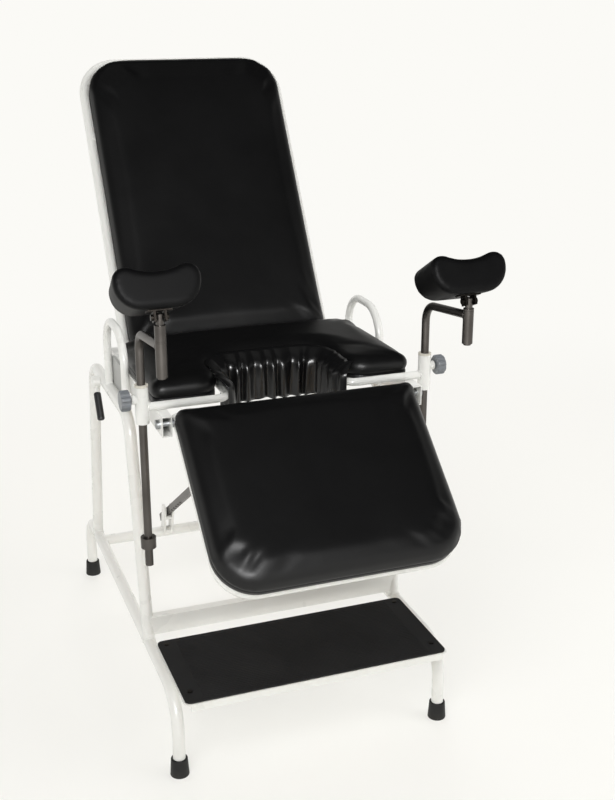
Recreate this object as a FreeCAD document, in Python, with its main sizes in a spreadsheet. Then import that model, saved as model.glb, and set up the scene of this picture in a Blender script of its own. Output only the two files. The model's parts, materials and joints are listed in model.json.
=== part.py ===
"""Gynecological chair: welded tube frame with a step, hinged backrest and leg rest, two knee crutches.

The chair faces -Y, +X is to the right in front of it, +Z is up and the floor is Z = 0. Lengths along Y are
measured from the feet of the front posts. Every piece is then placed about the middle of the floor outline.
"""
import FreeCAD, Part
import math
import os
import re

import Sketcher

SIZES = {
    # Place of the front posts' feet, from the middle of the floor outline
    "datum_y": -138.5,
    # Round tube of the welded frame, and the gap left at a welded joint
    "tube_od": 25.0,
    "tube_wall": 1.5,
    "weld_gap": 0.05,
    "frame_half_width": 280.0,
    # Base rails
    "front_foot_y": -223.0,
    "rear_foot_y": 678.0,
    "base_rail_z": 169.0,
    "base_bend": 75.0,
    # Rubber feet
    "foot_od": 38.0,
    "foot_top_od": 33.0,
    "foot_height": 38.0,
    "foot_floor": 6.0,
    "foot_edge": 2.0,
    "foot_fit": 0.05,
    # Side frames with splayed posts
    "front_post_y": 8.0,
    "rear_post_y": 561.0,
    "post_splay": 91.0,
    "top_rail_z": 640.0,
    "post_bend": 55.0,
    # Cross members between the two sides
    "front_bar_z": 184.0,
    "front_bar_height": 40.0,
    "front_bar_depth": 20.0,
    "front_bar_wall": 2.0,
    "rear_tube_y": 515.0,
    # Step
    "step_front_y": -272.0,
    "step_rear_y": -28.0,
    "step_inset": 4.0,
    "step_half_width": "=frame_half_width - step_inset",
    "step_plate_thickness": 2.5,
    "step_lip": 12.0,
    "step_corner": 12.0,
    "mat_margin": 3.0,
    "mat_thickness": 3.0,
    "mat_rib_height": 0.6,
    "mat_rib_width": 3.0,
    "mat_rib_pitch": 6.0,
    "step_screw_head": 10.0,
    "step_screw_head_height": 2.0,
    "step_screw_shank": 4.0,
    "step_screw_length": 9.0,
    "step_screw_inset": 20.0,
    # Seat frame: two box rails, two box cross tubes, a side plate on each top rail
    "seat_rail_inset": 15.0,
    "seat_rail_width": 20.0,
    "seat_rail_height": 40.0,
    "seat_rail_wall": 2.0,
    "seat_rail_lift": 33.0,
    "seat_rail_front": 20.0,
    "seat_rail_rear": 24.0,
    "seat_rail_inner": "=frame_half_width - seat_rail_inset - seat_rail_width",
    "side_plate_thickness": 6.0,
    "side_plate_length": 140.0,
    "side_plate_corner": 15.0,
    "seat_cross_depth": 30.0,
    "seat_cross_height": 20.0,
    "seat_cross_wall": 2.0,
    "seat_cross_front_y": 100.0,
    "seat_cross_rear_y": 220.0,
    # Seat board and cushion, with the notch at the front
    "seat_board_thickness": 12.0,
    "seat_board_seating": 17.0,
    "seat_cushion_thickness": 43.0,
    "seat_overhang": 6.0,
    "seat_front_gap": 3.0,
    "seat_rear_y": 256.0,
    "seat_front_corner": 24.0,
    "seat_rear_corner": 45.0,
    "seat_cheek": 132.0,
    "notch_half_width": "=seat_rail_inner + seat_board_seating - seat_cheek",
    "notch_end_y": 80.0,
    "notch_corner": 65.0,
    "notch_mouth_corner": 48.0,
    # Front rail, which follows the notch, and its gathered lining
    "front_rail_od": 16.0,
    "front_rail_wall": 1.5,
    "front_rail_y": -86.0,
    "front_rail_mouth_bend": 28.0,
    "front_rail_notch_gap": 3.0,
    "lining_gap": 0.4,
    "lining_thickness": 4.0,
    "lining_fold": 5.0,
    "lining_fold_pitch": 19.0,
    "lining_rise": 34.0,
    "lining_drop": 64.0,
    "lining_front_drop": 38.0,
    # Cushion form: tucked in at its board, widest at the belly, rounded shoulder, crowned top
    "pad_tuck": 5.0,
    "pad_belly": 15.0,
    "pad_shoulder_drop": 11.0,
    "pad_shoulder_in": 5.0,
    "pad_edge_drop": 5.0,
    "pad_edge_in": 15.0,
    "pad_crown_in": 42.0,
    "pad_least_corner": 6.0,
    # Hinge bolts
    "hinge_bolt_d": 12.0,
    "hinge_fit": 0.05,
    "hinge_head_d": 18.0,
    "hinge_head": 7.0,
    "hinge_shoulder_d": 18.0,
    "hinge_shoulder_gap": 0.2,
    "hinge_nut_gap": 0.3,
    # Grab handles
    "handle_od": 17.0,
    "handle_wall": 1.5,
    "handle_front_y": 115.0,
    "handle_rear_y": 290.0,
    "handle_top_z": 803.0,
    "handle_bend": 68.0,
    # Backrest
    "back_hinge_y": 320.0,
    "back_lean": 32.0,
    "back_tube_od": 22.0,
    "back_tube_wall": 1.5,
    "back_hinge_gap": 2.0,
    "back_tube_below": 16.0,
    "back_tube_top": 705.0,
    "back_tube_bend": 80.0,
    "back_cross_low": 190.0,
    "back_cross_high": 520.0,
    "back_board_thickness": 10.0,
    "back_board_inset": 8.0,
    "back_pad_thickness": 40.0,
    "back_pad_inset": 2.0,
    "back_pad_half_width": "=seat_rail_inner - back_hinge_gap - back_tube_od / 2 - back_pad_inset",
    "back_pad_bottom": 10.0,
    "back_pad_top": 699.0,
    "back_pad_top_corner": 86.0,
    "back_pad_bottom_corner": 30.0,
    # Clamp of the backrest: slotted quadrant, bolt, spacer and lever
    "clamp_y": 340.0,
    "clamp_bolt_d": 10.0,
    "clamp_fit": 0.05,
    "clamp_slot_play": 0.4,
    "clamp_head_d": 18.0,
    "clamp_head": 7.0,
    "clamp_face_gap": 0.3,
    "spacer_od": 20.0,
    "quadrant_thickness": 5.0,
    "quadrant_rim": 9.0,
    "quadrant_hub": 16.0,
    "quadrant_before": 16.0,
    "quadrant_after": 64.0,
    "quadrant_margin": 12.0,
    "quadrant_strip": 60.0,
    "quadrant_strip_width": 20.0,
    "lever_hub_d": 26.0,
    "lever_hub_length": 18.0,
    "lever_hub_round": 6.0,
    "lever_tilt": 32.0,
    "lever_bar_d": 9.0,
    "lever_length": 84.0,
    "grip_d": 16.0,
    "grip_start": 24.0,
    "grip_end_wall": 4.0,
    "grip_round": 5.0,
    "grip_fit": 0.05,
    # Leg rest
    "leg_hinge_y": -111.0,
    "leg_drop": 40.0,
    "leg_tube_od": 20.0,
    "leg_tube_wall": 1.5,
    "leg_hinge_gap": 6.0,
    "leg_tube_behind": 14.0,
    "leg_tube_end": 361.0,
    "leg_tube_bend": 66.0,
    "leg_board_thickness": 10.0,
    "leg_board_inset": 8.0,
    "leg_pad_thickness": 45.0,
    "leg_pad_overhang": 15.0,
    "leg_pad_half_width": "=seat_rail_inner - leg_hinge_gap - leg_tube_od / 2 + leg_pad_overhang",
    "leg_pad_start": -9.0,
    "leg_pad_end": 373.0,
    "leg_pad_end_corner": 84.0,
    "leg_pad_start_corner": 22.0,
    # Notched bar that holds the leg rest, its lugs and its catch
    "rack_x": -115.0,
    "rack_pivot_along": 40.0,
    "rack_pivot_behind": 66.0,
    "rack_slope": 33.0,
    "rack_thickness": 8.0,
    "rack_height": 18.0,
    "rack_eye": 13.0,
    "rack_length": 800.0,
    "rack_tooth_pitch": 26.0,
    "rack_tooth_depth": 7.0,
    "rack_tooth_first": 540.0,
    "rack_tooth_count": 9,
    "rack_pin_d": 10.0,
    "rack_fit": 0.05,
    "rack_side_gap": 0.6,
    "lug_thickness": 5.0,
    "lug_radius": 13.0,
    "lug_top_half": 8.0,
    "lug_corner": 9.0,
    "rack_pin_head_d": 16.0,
    "rack_pin_head": 5.0,
    "catch_ahead": 22.0,
    "catch_pin_d": 10.0,
    "catch_gap": 1.0,
    "catch_side_gap": 3.0,
    "catch_plate": 5.0,
    "catch_width": 30.0,
    "catch_rise": 34.0,
    # Knee crutches: socket, bush, bent rod with its end socket, stop collar
    "socket_out": 11.0,
    "socket_od": 26.0,
    "socket_length": 72.0,
    "socket_rise": 5.0,
    "bush_wall": 2.0,
    "bush_fit": 0.05,
    "bush_flange": 4.0,
    "crutch_rod_d": 16.0,
    "crutch_bottom_z": 395.0,
    "crutch_arm_z": 866.0,
    "crutch_arm_rise": 23.0,
    "crutch_bend": 38.0,
    "crutch_reach": 176.0,
    "arm_socket_od": 20.0,
    "arm_socket_low": 54.0,
    "arm_socket_high": 9.0,
    "collar_od": 30.0,
    "collar_height": 22.0,
    "collar_rise": 38.0,
    # Stem and cup
    "stem_d": 14.0,
    "stem_fit": 0.05,
    "stem_collar_d": 20.0,
    "stem_neck": 14.0,
    "stem_collar_gap": 0.3,
    "stem_tail": 3.0,
    "cup_pivot_rise_left": 43.0,
    "cup_pivot_rise_right": 18.0,
    "cup_bolt_d": 6.0,
    "cup_bolt_head_d": 11.0,
    "cup_bolt_head": 4.0,
    "stem_above_pivot": 6.0,
    "cheek_gap": 0.4,
    "cheek_thickness": 4.0,
    "cheek_half_length": 10.0,
    "cheek_below": 8.0,
    "saddle_plate": 1.5,
    "cup_seat": 11.0,
    "cup_front": 28.0,
    "cup_back": 92.0,
    "cup_half_width": 77.0,
    "cup_lobe_height": 86.0,
    "cup_hollow_height": 56.0,
    "cup_lobe_radius": 23.0,
    "cup_belly_radius": 48.0,
    "cup_hollow_radius": 114.0,
    "cup_taper": 0.83,
    "cup_rear_rise": 5.0,
    "cup_tilt": 23.0,
    "cup_round": 10.0,
    # Clamp knobs of the sockets
    "knob_boss_d": 18.0,
    "knob_boss": 7.0,
    "knob_rise": 12.0,
    "knob_gap": 3.0,
    "knob_d": 40.0,
    "knob_thickness": 18.0,
    "knob_scallop_d": 12.0,
    "knob_scallop_bite": 3.0,
    "knob_scallops": 8,
    "knob_round": 3.0,
    "stud_d": 8.0,
    "stud_fit": 0.05,
    "stud_tip_gap": 0.5,
}

# Places worked out from the sizes, as expressions
SEAT_RAIL_OUTER = "(frame_half_width - seat_rail_inset)"
SEAT_RAIL_INNER = "seat_rail_inner"
SEAT_RAIL_BOTTOM = "(top_rail_z + seat_rail_lift)"
SEAT_RAIL_TOP = "(top_rail_z + seat_rail_lift + seat_rail_height)"
HINGE_Z = "(top_rail_z + seat_rail_lift + seat_rail_height / 2)"
BASE_TOP = "(base_rail_z + tube_od / 2)"
SEAT_BOARD_TOP = f"({SEAT_RAIL_TOP} + seat_board_thickness)"
SEAT_BOARD_HALF = f"({SEAT_RAIL_INNER} + seat_board_seating)"
SEAT_FRONT = "(front_rail_y + front_rail_od / 2 + seat_front_gap)"
FRONT_RAIL_Z = f"({SEAT_RAIL_TOP} + front_rail_od / 2)"
FRONT_RAIL_NOTCH = "(notch_half_width - front_rail_notch_gap - front_rail_od / 2)"
FRONT_RAIL_END = "(notch_end_y - front_rail_notch_gap - front_rail_od / 2)"
SOCKET_X = "(frame_half_width + socket_out)"
SOCKET_MIDDLE = f"({FRONT_RAIL_Z} + socket_rise)"
SOCKET_BOTTOM = f"({SOCKET_MIDDLE} - socket_length / 2)"
SOCKET_TOP = f"({SOCKET_MIDDLE} + socket_length / 2)"
BUSH_RADIUS = "(crutch_rod_d / 2 + bush_wall)"
CRUTCH_END_Y = "(front_rail_y - crutch_reach)"
CRUTCH_END_Z = "(crutch_arm_z + crutch_arm_rise)"
KNOB_Z = f"({SOCKET_MIDDLE} + knob_rise)"
BACK_HALF = f"({SEAT_RAIL_INNER} - back_hinge_gap - back_tube_od / 2)"
BACK_BOARD_FRONT = "(back_tube_od / 2 + back_board_thickness)"
LEG_HALF = f"({SEAT_RAIL_INNER} - leg_hinge_gap - leg_tube_od / 2)"
LEG_BOARD_TOP = "(leg_tube_od / 2 + leg_board_thickness)"
CLAMP_DROP = f"({HINGE_Z} - top_rail_z)"
CLAMP_RADIUS = f"sqrt((clamp_y - back_hinge_y)^2 + {CLAMP_DROP}^2)"
CLAMP_ANGLE = f"(back_lean - atan({CLAMP_DROP} / (clamp_y - back_hinge_y)) / 1deg)"
QUADRANT_FACE = f"(-{BACK_HALF} + back_tube_od / 2)"
SPLAY_ANGLE = "atan(post_splay / (top_rail_z - base_rail_z)) / 1deg"
RACK_PIVOT_Y = "(leg_hinge_y - rack_pivot_along * cos(leg_drop) + rack_pivot_behind * sin(leg_drop))"
RACK_PIVOT_Z = f"({HINGE_Z} - rack_pivot_along * sin(leg_drop) - rack_pivot_behind * cos(leg_drop))"
CATCH_BELOW = "(rack_height / 2 + catch_gap + catch_pin_d / 2)"
CATCH_Y = "(rear_tube_y - catch_ahead)"
CATCH_ALONG = f"(({CATCH_Y} - {RACK_PIVOT_Y} + {CATCH_BELOW} * sin(rack_slope)) / cos(rack_slope))"
CATCH_Z = f"({RACK_PIVOT_Z} - {CATCH_ALONG} * sin(rack_slope) - {CATCH_BELOW} * cos(rack_slope))"
SIDES = (("left", -1), ("right", 1))
TURN_TO_X = FreeCAD.Rotation(FreeCAD.Vector(0, 1, 0), 90)
TURN_TO_Y = FreeCAD.Rotation(FreeCAD.Vector(-1, 0, 0), 90)
TURNS = {"x": TURN_TO_X, "y": TURN_TO_Y, "z": FreeCAD.Rotation()}

doc = FreeCAD.newDocument("examination_chair")
sheet = doc.addObject("Spreadsheet::Sheet", "sizes")
for row, (alias, number) in enumerate(SIZES.items(), start=1):
    sheet.set(f"A{row}", alias)
    sheet.set(f"B{row}", str(number))
    sheet.setAlias(f"B{row}", alias)
doc.recompute()
nodes = {}


def linked(text):
    """An expression with the sheet's name before each of its aliases."""
    return re.sub(r"[a-z_]\w*", lambda word: f"sizes.{word[0]}" if word[0] in SIZES else word[0], str(text))


def size(text):
    """The number that an expression comes to."""
    return float(sheet.evalExpression(linked(text)))


def bind(thing, **expressions):
    """Binds properties to expressions; a double underscore stands for a dot."""
    for name, text in expressions.items():
        thing.setExpression(name.replace("__", "."), linked(text))
    return thing


def place(thing, x="0", y="0", z="0"):
    """Binds where a solid stands."""
    return bind(thing, Placement__Base__x=x, Placement__Base__y=y, Placement__Base__z=z)


def turn(thing, axis, angle):
    """Binds a solid's turn, in degrees, about an axis."""
    rotation = FreeCAD.Rotation(FreeCAD.Vector(*axis), size(angle))
    thing.Placement = FreeCAD.Placement(FreeCAD.Vector(), rotation)
    return bind(thing, Placement__Rotation__Angle=angle)


def node(label, thing):
    """Names a finished piece that was drawn in the chair's own frame."""
    thing.Label = label
    place(thing, y="datum_y")
    nodes[label] = thing


def back_node(label, thing):
    """Names a finished piece of the backrest: drawn about the hinge, Z along the back, -Y off its front."""
    thing.Label = label
    turn(thing, (-1, 0, 0), "back_lean")
    place(thing, y="datum_y + back_hinge_y", z=HINGE_Z)
    nodes[label] = thing


def leg_node(label, thing):
    """Names a finished piece of the leg rest: drawn about the hinge, -Y along the rest, +Z off its top."""
    thing.Label = label
    turn(thing, (1, 0, 0), "leg_drop")
    place(thing, y="datum_y + leg_hinge_y", z=HINGE_Z)
    nodes[label] = thing


def box(name, x, y, z):
    """A block between two expressions along each axis."""
    block = doc.addObject("Part::Box", name)
    bind(block, Length=f"({x[1]}) - ({x[0]})", Width=f"({y[1]}) - ({y[0]})", Height=f"({z[1]}) - ({z[0]})")
    return place(block, x[0], y[0], z[0])


def cylinder(name, axis, start, length, radius):
    """A round bar from a start point along +X, +Y or +Z."""
    bar = doc.addObject("Part::Cylinder", name)
    bar.Placement = FreeCAD.Placement(FreeCAD.Vector(), TURNS[axis])
    bind(bar, Radius=radius, Height=length)
    return place(bar, *start)


def through_x(name, y, z, radius):
    """A round hole's cutter across the whole width."""
    return cylinder(name, "x", ("-2 * frame_half_width", y, z), "4 * frame_half_width", radius)


def side_rail_cutter(name, sign, z):
    """The outside of a side tube along Y, which welded neighbours are shaped to."""
    start = (f"{sign} * frame_half_width", "2 * front_foot_y", z)
    return cylinder(name, "y", start, "2 * (rear_foot_y - front_foot_y)", "tube_od / 2 + weld_gap")


def cut(base, *tools):
    """The base without the tools."""
    for number, tool in enumerate(tools):
        result = doc.addObject("Part::Cut", f"{base.Name}_cut{number}")
        result.Base = base
        result.Tool = tool
        base = result
    return base


def fuse(name, *pieces):
    """Pieces welded into one solid."""
    result = doc.addObject("Part::MultiFuse", name)
    result.Shapes = list(pieces)
    result.Refine = True
    return result


def group(name, *pieces):
    """Like fasteners kept as separate solids of one piece."""
    result = doc.addObject("Part::Compound", name)
    result.Links = list(pieces)
    return result


def rounded(name, base, radius, chosen):
    """The base with the edges that a test picks rounded."""
    doc.recompute()
    result = doc.addObject("Part::Fillet", name)
    result.Base = base
    amount = size(radius)
    result.Edges = [(i, amount, amount) for i, edge in enumerate(base.Shape.Edges, start=1) if chosen(edge)]
    return result


def hold(sketch, geometry, point, across, up):
    """Ties a sketch point to its place from the sketch's origin."""
    for kind, text in (("DistanceX", across), ("DistanceY", up)):
        number = sketch.addConstraint(Sketcher.Constraint(kind, -1, 1, geometry, point, size(text)))
        sketch.setExpression(f"Constraints[{number}]", linked(text))


def outline(body, name, plane, corners, closed=True, lift="0"):
    """A sketch of straight runs. A corner is (across, up) or (across, up, radius of its arc)."""
    sketch = body.newObject("Sketcher::SketchObject", name)
    planes = {feature.Role: feature for feature in body.Origin.OriginFeatures}
    sketch.AttachmentSupport = [(planes[f"{plane}_Plane"], "")]
    sketch.MapMode = "FlatFace"
    sketch.setExpression("AttachmentOffset.Base.z", linked(lift))
    points = [FreeCAD.Vector(size(corner[0]), size(corner[1]), 0) for corner in corners]
    count = len(points)
    arcs = {}
    for i, corner in enumerate(corners):
        if len(corner) < 3:
            continue
        radius = size(corner[2])
        back = (points[i - 1] - points[i]).normalize()
        ahead = (points[(i + 1) % count] - points[i]).normalize()
        half = back.getAngle(ahead) / 2
        enter = points[i] + back * (radius / math.tan(half))
        leave = points[i] + ahead * (radius / math.tan(half))
        centre = points[i] + (back + ahead).normalize() * (radius / math.sin(half))
        arcs[i] = (enter, leave, centre, radius, back.cross(ahead).z < 0)
    runs = []
    for i in range(count if closed else count - 1):
        ahead = (i + 1) % count
        start = arcs[i][1] if i in arcs else points[i]
        end = arcs[ahead][0] if ahead in arcs else points[ahead]
        runs.append(sketch.addGeometry(Part.LineSegment(start, end)))
    for i, corner in enumerate(corners):
        before = runs[i - 1] if closed or i > 0 else None
        after = runs[i] if closed or i < count - 1 else None
        if i in arcs:
            enter, leave, centre, radius, left = arcs[i]
            first, last = (enter, leave) if left else (leave, enter)
            angles = [math.atan2(end.y - centre.y, end.x - centre.x) for end in (first, last)]
            if angles[1] < angles[0]:
                angles[1] += 2 * math.pi
            circle = Part.Circle(centre, FreeCAD.Vector(0, 0, 1), radius)
            bend = sketch.addGeometry(Part.ArcOfCircle(circle, *angles))
            apex = sketch.addGeometry(Part.Point(points[i]), True)
            sketch.addConstraint(Sketcher.Constraint("Tangent", before, 2, bend, 1 if left else 2))
            sketch.addConstraint(Sketcher.Constraint("Tangent", bend, 2 if left else 1, after, 1))
            number = sketch.addConstraint(Sketcher.Constraint("Radius", bend, radius))
            sketch.setExpression(f"Constraints[{number}]", linked(corner[2]))
            sketch.addConstraint(Sketcher.Constraint("PointOnObject", apex, 1, before))
            sketch.addConstraint(Sketcher.Constraint("PointOnObject", apex, 1, after))
            hold(sketch, apex, 1, *corner[:2])
        elif before is None:
            hold(sketch, after, 1, *corner)
        elif after is None:
            hold(sketch, before, 2, *corner)
        else:
            sketch.addConstraint(Sketcher.Constraint("Coincident", before, 2, after, 1))
            hold(sketch, after, 1, *corner)
    return sketch


def bent_bar(name, plane, corners, lift, *diameters):
    """Round bar or, with an inner diameter, tube along straight runs and bends."""
    body = doc.addObject("PartDesign::Body", name)
    line = outline(body, f"{name}_line", plane, corners, closed=False, lift=lift)
    ring = body.newObject("Sketcher::SketchObject", f"{name}_ring")
    ring.AttachmentSupport = [(line, "Edge1")]
    ring.MapMode = "NormalToEdge"
    ring.MapPathParameter = 0
    for diameter in diameters:
        circle = ring.addGeometry(Part.Circle(FreeCAD.Vector(), FreeCAD.Vector(0, 0, 1), size(diameter) / 2))
        ring.addConstraint(Sketcher.Constraint("Coincident", circle, 3, -1, 1))
        number = ring.addConstraint(Sketcher.Constraint("Diameter", circle, size(diameter)))
        ring.setExpression(f"Constraints[{number}]", linked(diameter))
    pipe = body.newObject("PartDesign::AdditivePipe", f"{name}_pipe")
    pipe.Profile = ring
    pipe.Spine = line
    return body


def plate(name, plane, corners, lift, thickness):
    """A flat piece of an outline, padded along the plane's normal."""
    body = doc.addObject("PartDesign::Body", name)
    pad = body.newObject("PartDesign::Pad", f"{name}_pad")
    pad.Profile = outline(body, f"{name}_outline", plane, corners, lift=lift)
    bind(pad, Length=thickness)
    return body


def cushion(name, plane, corners, base, thickness):
    """A crowned pad. corners(inset) gives its outline drawn in by an inset."""
    levels = (
        (base, "pad_tuck"),
        (f"{base} + pad_belly", "0"),
        (f"{base} + {thickness} - pad_shoulder_drop", "pad_shoulder_in"),
        (f"{base} + {thickness} - pad_edge_drop", "pad_edge_in"),
        (f"{base} + {thickness}", "pad_crown_in"),
    )
    body = doc.addObject("PartDesign::Body", name)
    sections = [
        outline(body, f"{name}_level{number}", plane, corners(inset), lift=lift)
        for number, (lift, inset) in enumerate(levels)
    ]
    loft = body.newObject("PartDesign::AdditiveLoft", f"{name}_loft")
    loft.Profile = sections[0]
    loft.Sections = sections[1:]
    loft.Ruled = True
    return body


def box_tube_y(name, x, y, z, wall):
    """Box-section tube along Y."""
    hollow_x = (f"{x[0]} + {wall}", f"{x[1]} - {wall}")
    hollow_z = (f"{z[0]} + {wall}", f"{z[1]} - {wall}")
    inner = box(f"{name}_inside", hollow_x, y, hollow_z)
    return cut(box(f"{name}_outside", x, y, z), inner)


def box_tube_x(name, x, y, z, wall):
    """Box-section tube along X."""
    hollow_y = (f"{y[0]} + {wall}", f"{y[1]} - {wall}")
    hollow_z = (f"{z[0]} + {wall}", f"{z[1]} - {wall}")
    inner = box(f"{name}_inside", x, hollow_y, hollow_z)
    return cut(box(f"{name}_outside", x, y, z), inner)


def is_circle(edge):
    """Whether an edge is a full circle."""
    return isinstance(edge.Curve, Part.Circle) and edge.isClosed()


# Base rails: one bent tube a side, from the front foot over the rail to the rear foot
for side, sign in SIDES:
    corners = (
        ("front_foot_y", "foot_floor"),
        ("front_foot_y", "base_rail_z", "base_bend"),
        ("rear_foot_y", "base_rail_z", "base_bend"),
        ("rear_foot_y", "foot_floor"),
    )
    lift = f"{sign} * frame_half_width"
    rail = bent_bar(f"base_{side}", "YZ", corners, lift, "tube_od", "tube_od - 2 * tube_wall")
    node(f"base_rail_{side}", rail)

# Rubber feet: tapered ferrules pushed over the tube ends
for end in ("front", "rear"):
    for side, sign in SIDES:
        name = f"foot_{end}_{side}"
        at = (f"{sign} * frame_half_width", f"{end}_foot_y", "0")
        ferrule = doc.addObject("Part::Cone", f"{name}_ferrule")
        bind(ferrule, Radius1="foot_od / 2", Radius2="foot_top_od / 2", Height="foot_height")
        place(ferrule, *at)
        soft = rounded(f"{name}_edges", ferrule, "foot_edge", is_circle)
        bore = cylinder(f"{name}_bore", "z", (*at[:2], "foot_floor"), "foot_height", "tube_od / 2 + foot_fit")
        node(name, cut(soft, bore))

# Side frames: one bent tube a side, its splayed posts shaped to the base rail they stand on
for side, sign in SIDES:
    corners = (
        ("front_post_y", "base_rail_z"),
        ("front_post_y + post_splay", "top_rail_z", "post_bend"),
        ("rear_post_y - post_splay", "top_rail_z", "post_bend"),
        ("rear_post_y", "base_rail_z"),
    )
    lift = f"{sign} * frame_half_width"
    frame = bent_bar(f"side_{side}", "YZ", corners, lift, "tube_od", "tube_od - 2 * tube_wall")
    cutters = [side_rail_cutter(f"side_{side}_saddle", sign, "base_rail_z")]
    if side == "left":
        at = ("-2 * frame_half_width", "clamp_y", "top_rail_z")
        hole = cylinder("side_clamp_hole", "x", at, "2 * frame_half_width", "clamp_bolt_d / 2 + clamp_fit")
        cutters.append(hole)
    node(f"side_frame_{side}", cut(frame, *cutters))

# Front cross bar: box tube between the feet of the front posts
bar_rise = "(front_bar_z + front_bar_height / 2 - base_rail_z)"
bar_y = f"(front_post_y + post_splay * {bar_rise} / (top_rail_z - base_rail_z))"
bar = box_tube_x(
    "front_bar",
    ("-frame_half_width", "frame_half_width"),
    (f"{bar_y} - front_bar_depth / 2", f"{bar_y} + front_bar_depth / 2"),
    ("front_bar_z", "front_bar_z + front_bar_height"),
    "front_bar_wall",
)
posts = []
for side, sign in SIDES:
    post = doc.addObject("Part::Cylinder", f"front_bar_{side}_post")
    bind(post, Radius="tube_od / 2 + weld_gap", Height="top_rail_z - base_rail_z")
    turn(post, (-1, 0, 0), SPLAY_ANGLE)
    posts.append(place(post, f"{sign} * frame_half_width", "front_post_y", "base_rail_z"))
node("front_cross_bar", cut(bar, *posts))

# Rear cross tube between the base rails
corners = (("-frame_half_width", "rear_tube_y"), ("frame_half_width", "rear_tube_y"))
rear = bent_bar("rear_tube", "XY", corners, "base_rail_z", "tube_od", "tube_od - 2 * tube_wall")
saddles = [side_rail_cutter(f"rear_tube_{side}_saddle", sign, "base_rail_z") for side, sign in SIDES]
node("rear_cross_tube", cut(rear, *saddles))

# Step: sheet-steel plate with a folded front lip, ribbed rubber mat and countersunk screws
STEP_TOP = f"({BASE_TOP} + step_plate_thickness)"
step_corners = (
    ("-step_half_width", "step_front_y", "step_corner"),
    ("step_half_width", "step_front_y", "step_corner"),
    ("step_half_width", "step_rear_y", "step_corner"),
    ("-step_half_width", "step_rear_y", "step_corner"),
)
sheet_top = plate("step_sheet", "XY", step_corners, BASE_TOP, "step_plate_thickness")
lip = box(
    "step_lip_fold",
    ("-step_half_width + step_corner", "step_half_width - step_corner"),
    ("step_front_y", "step_front_y + step_plate_thickness"),
    (f"{BASE_TOP} - step_lip", BASE_TOP),
)
screw_places = [
    (f"{sign} * (step_half_width - step_screw_inset)", y)
    for sign in (-1, 1)
    for y in ("step_front_y + 2 * step_screw_inset", "step_rear_y - step_screw_inset")
]
screws = []
screw_holes = []
for number, (x, y) in enumerate(screw_places):
    top = f"{STEP_TOP} + mat_thickness"
    name = f"step_screw{number}"
    shank_start = (x, y, f"{top} - step_screw_length")
    shank = cylinder(f"{name}_shank", "z", shank_start, "step_screw_length", "step_screw_shank / 2")
    head = cylinder(f"{name}_head", "z", (x, y, top), "step_screw_head_height", "step_screw_head / 2")
    screws.append(fuse(name, shank, head))
    hole_radius = "step_screw_shank / 2 + weld_gap"
    hole_start = (x, y, f"{BASE_TOP} - tube_od")
    screw_holes.append(cylinder(f"{name}_hole", "z", hole_start, "2 * tube_od", hole_radius))
node("step_plate", cut(fuse("step_folded", sheet_top, lip), *screw_holes))

mat_corners = tuple(
    (f"{x} - mat_margin * {x_sign}", f"{y} - mat_margin * {y_sign}", "step_corner")
    for x, y, x_sign, y_sign in (
        ("-step_half_width", "step_front_y", -1, -1),
        ("step_half_width", "step_front_y", 1, -1),
        ("step_half_width", "step_rear_y", 1, 1),
        ("-step_half_width", "step_rear_y", -1, 1),
    )
)
mat = plate("step_mat_body", "XY", mat_corners, STEP_TOP, "mat_thickness")
rib_length = "(2 * step_half_width - 4 * step_screw_inset)"
rib_corners = (
    (f"-{rib_length} / 2", "step_front_y + step_corner"),
    (f"{rib_length} / 2", "step_front_y + step_corner"),
    (f"{rib_length} / 2", "step_front_y + step_corner + mat_rib_width"),
    (f"-{rib_length} / 2", "step_front_y + step_corner + mat_rib_width"),
)
rib = mat.newObject("PartDesign::Pad", "mat_rib")
rib.Profile = outline(mat, "mat_rib_outline", "XY", rib_corners, lift=f"{STEP_TOP} + mat_thickness")
bind(rib, Length="mat_rib_height")
doc.recompute()
ribs = mat.newObject("PartDesign::LinearPattern", "mat_ribs")
ribs.Originals = [rib]
mat_planes = {feature.Role: feature for feature in mat.Origin.OriginFeatures}
ribs.Direction = (mat_planes["Y_Axis"], [""])
rib_space = "(step_rear_y - step_front_y - 2 * step_corner - mat_rib_width)"
rib_gaps = f"floor({rib_space} / mat_rib_pitch)"
bind(ribs, Length=f"{rib_gaps} * mat_rib_pitch", Occurrences=f"{rib_gaps} + 1")
mat.Tip = ribs
node("step_mat", cut(mat, *screw_holes))
node("step_screws", group("step_screw_set", *screws))

# Seat frame: side plates welded to the top rails, box rails on their inner faces, two box cross tubes
for side, sign in SIDES:
    front = "(front_post_y + post_splay + post_bend)"
    rear = f"({front} + side_plate_length)"
    corners = (
        (front, "top_rail_z", "side_plate_corner"),
        (rear, "top_rail_z", "side_plate_corner"),
        (rear, SEAT_RAIL_TOP, "side_plate_corner"),
        (front, SEAT_RAIL_TOP, "side_plate_corner"),
    )
    lift = SEAT_RAIL_OUTER if sign > 0 else f"-{SEAT_RAIL_OUTER} - side_plate_thickness"
    gusset = plate(f"side_plate_{side}", "YZ", corners, lift, "side_plate_thickness")
    saddle = side_rail_cutter(f"side_plate_{side}_saddle", sign, "top_rail_z")
    node(f"seat_side_plate_{side}", cut(gusset, saddle))

    faces = sorted((f"{sign} * {SEAT_RAIL_INNER}", f"{sign} * {SEAT_RAIL_OUTER}"), key=size)
    rail = box_tube_y(
        f"seat_rail_{side}",
        faces,
        ("leg_hinge_y - seat_rail_front", "back_hinge_y + seat_rail_rear"),
        (SEAT_RAIL_BOTTOM, SEAT_RAIL_TOP),
        "seat_rail_wall",
    )
    holes = [
        through_x(f"seat_rail_{side}_{end}_hole", f"{end}_hinge_y", HINGE_Z, "hinge_bolt_d / 2 + hinge_fit")
        for end in ("leg", "back")
    ]
    node(f"seat_rail_{side}", cut(rail, *holes))

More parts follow.
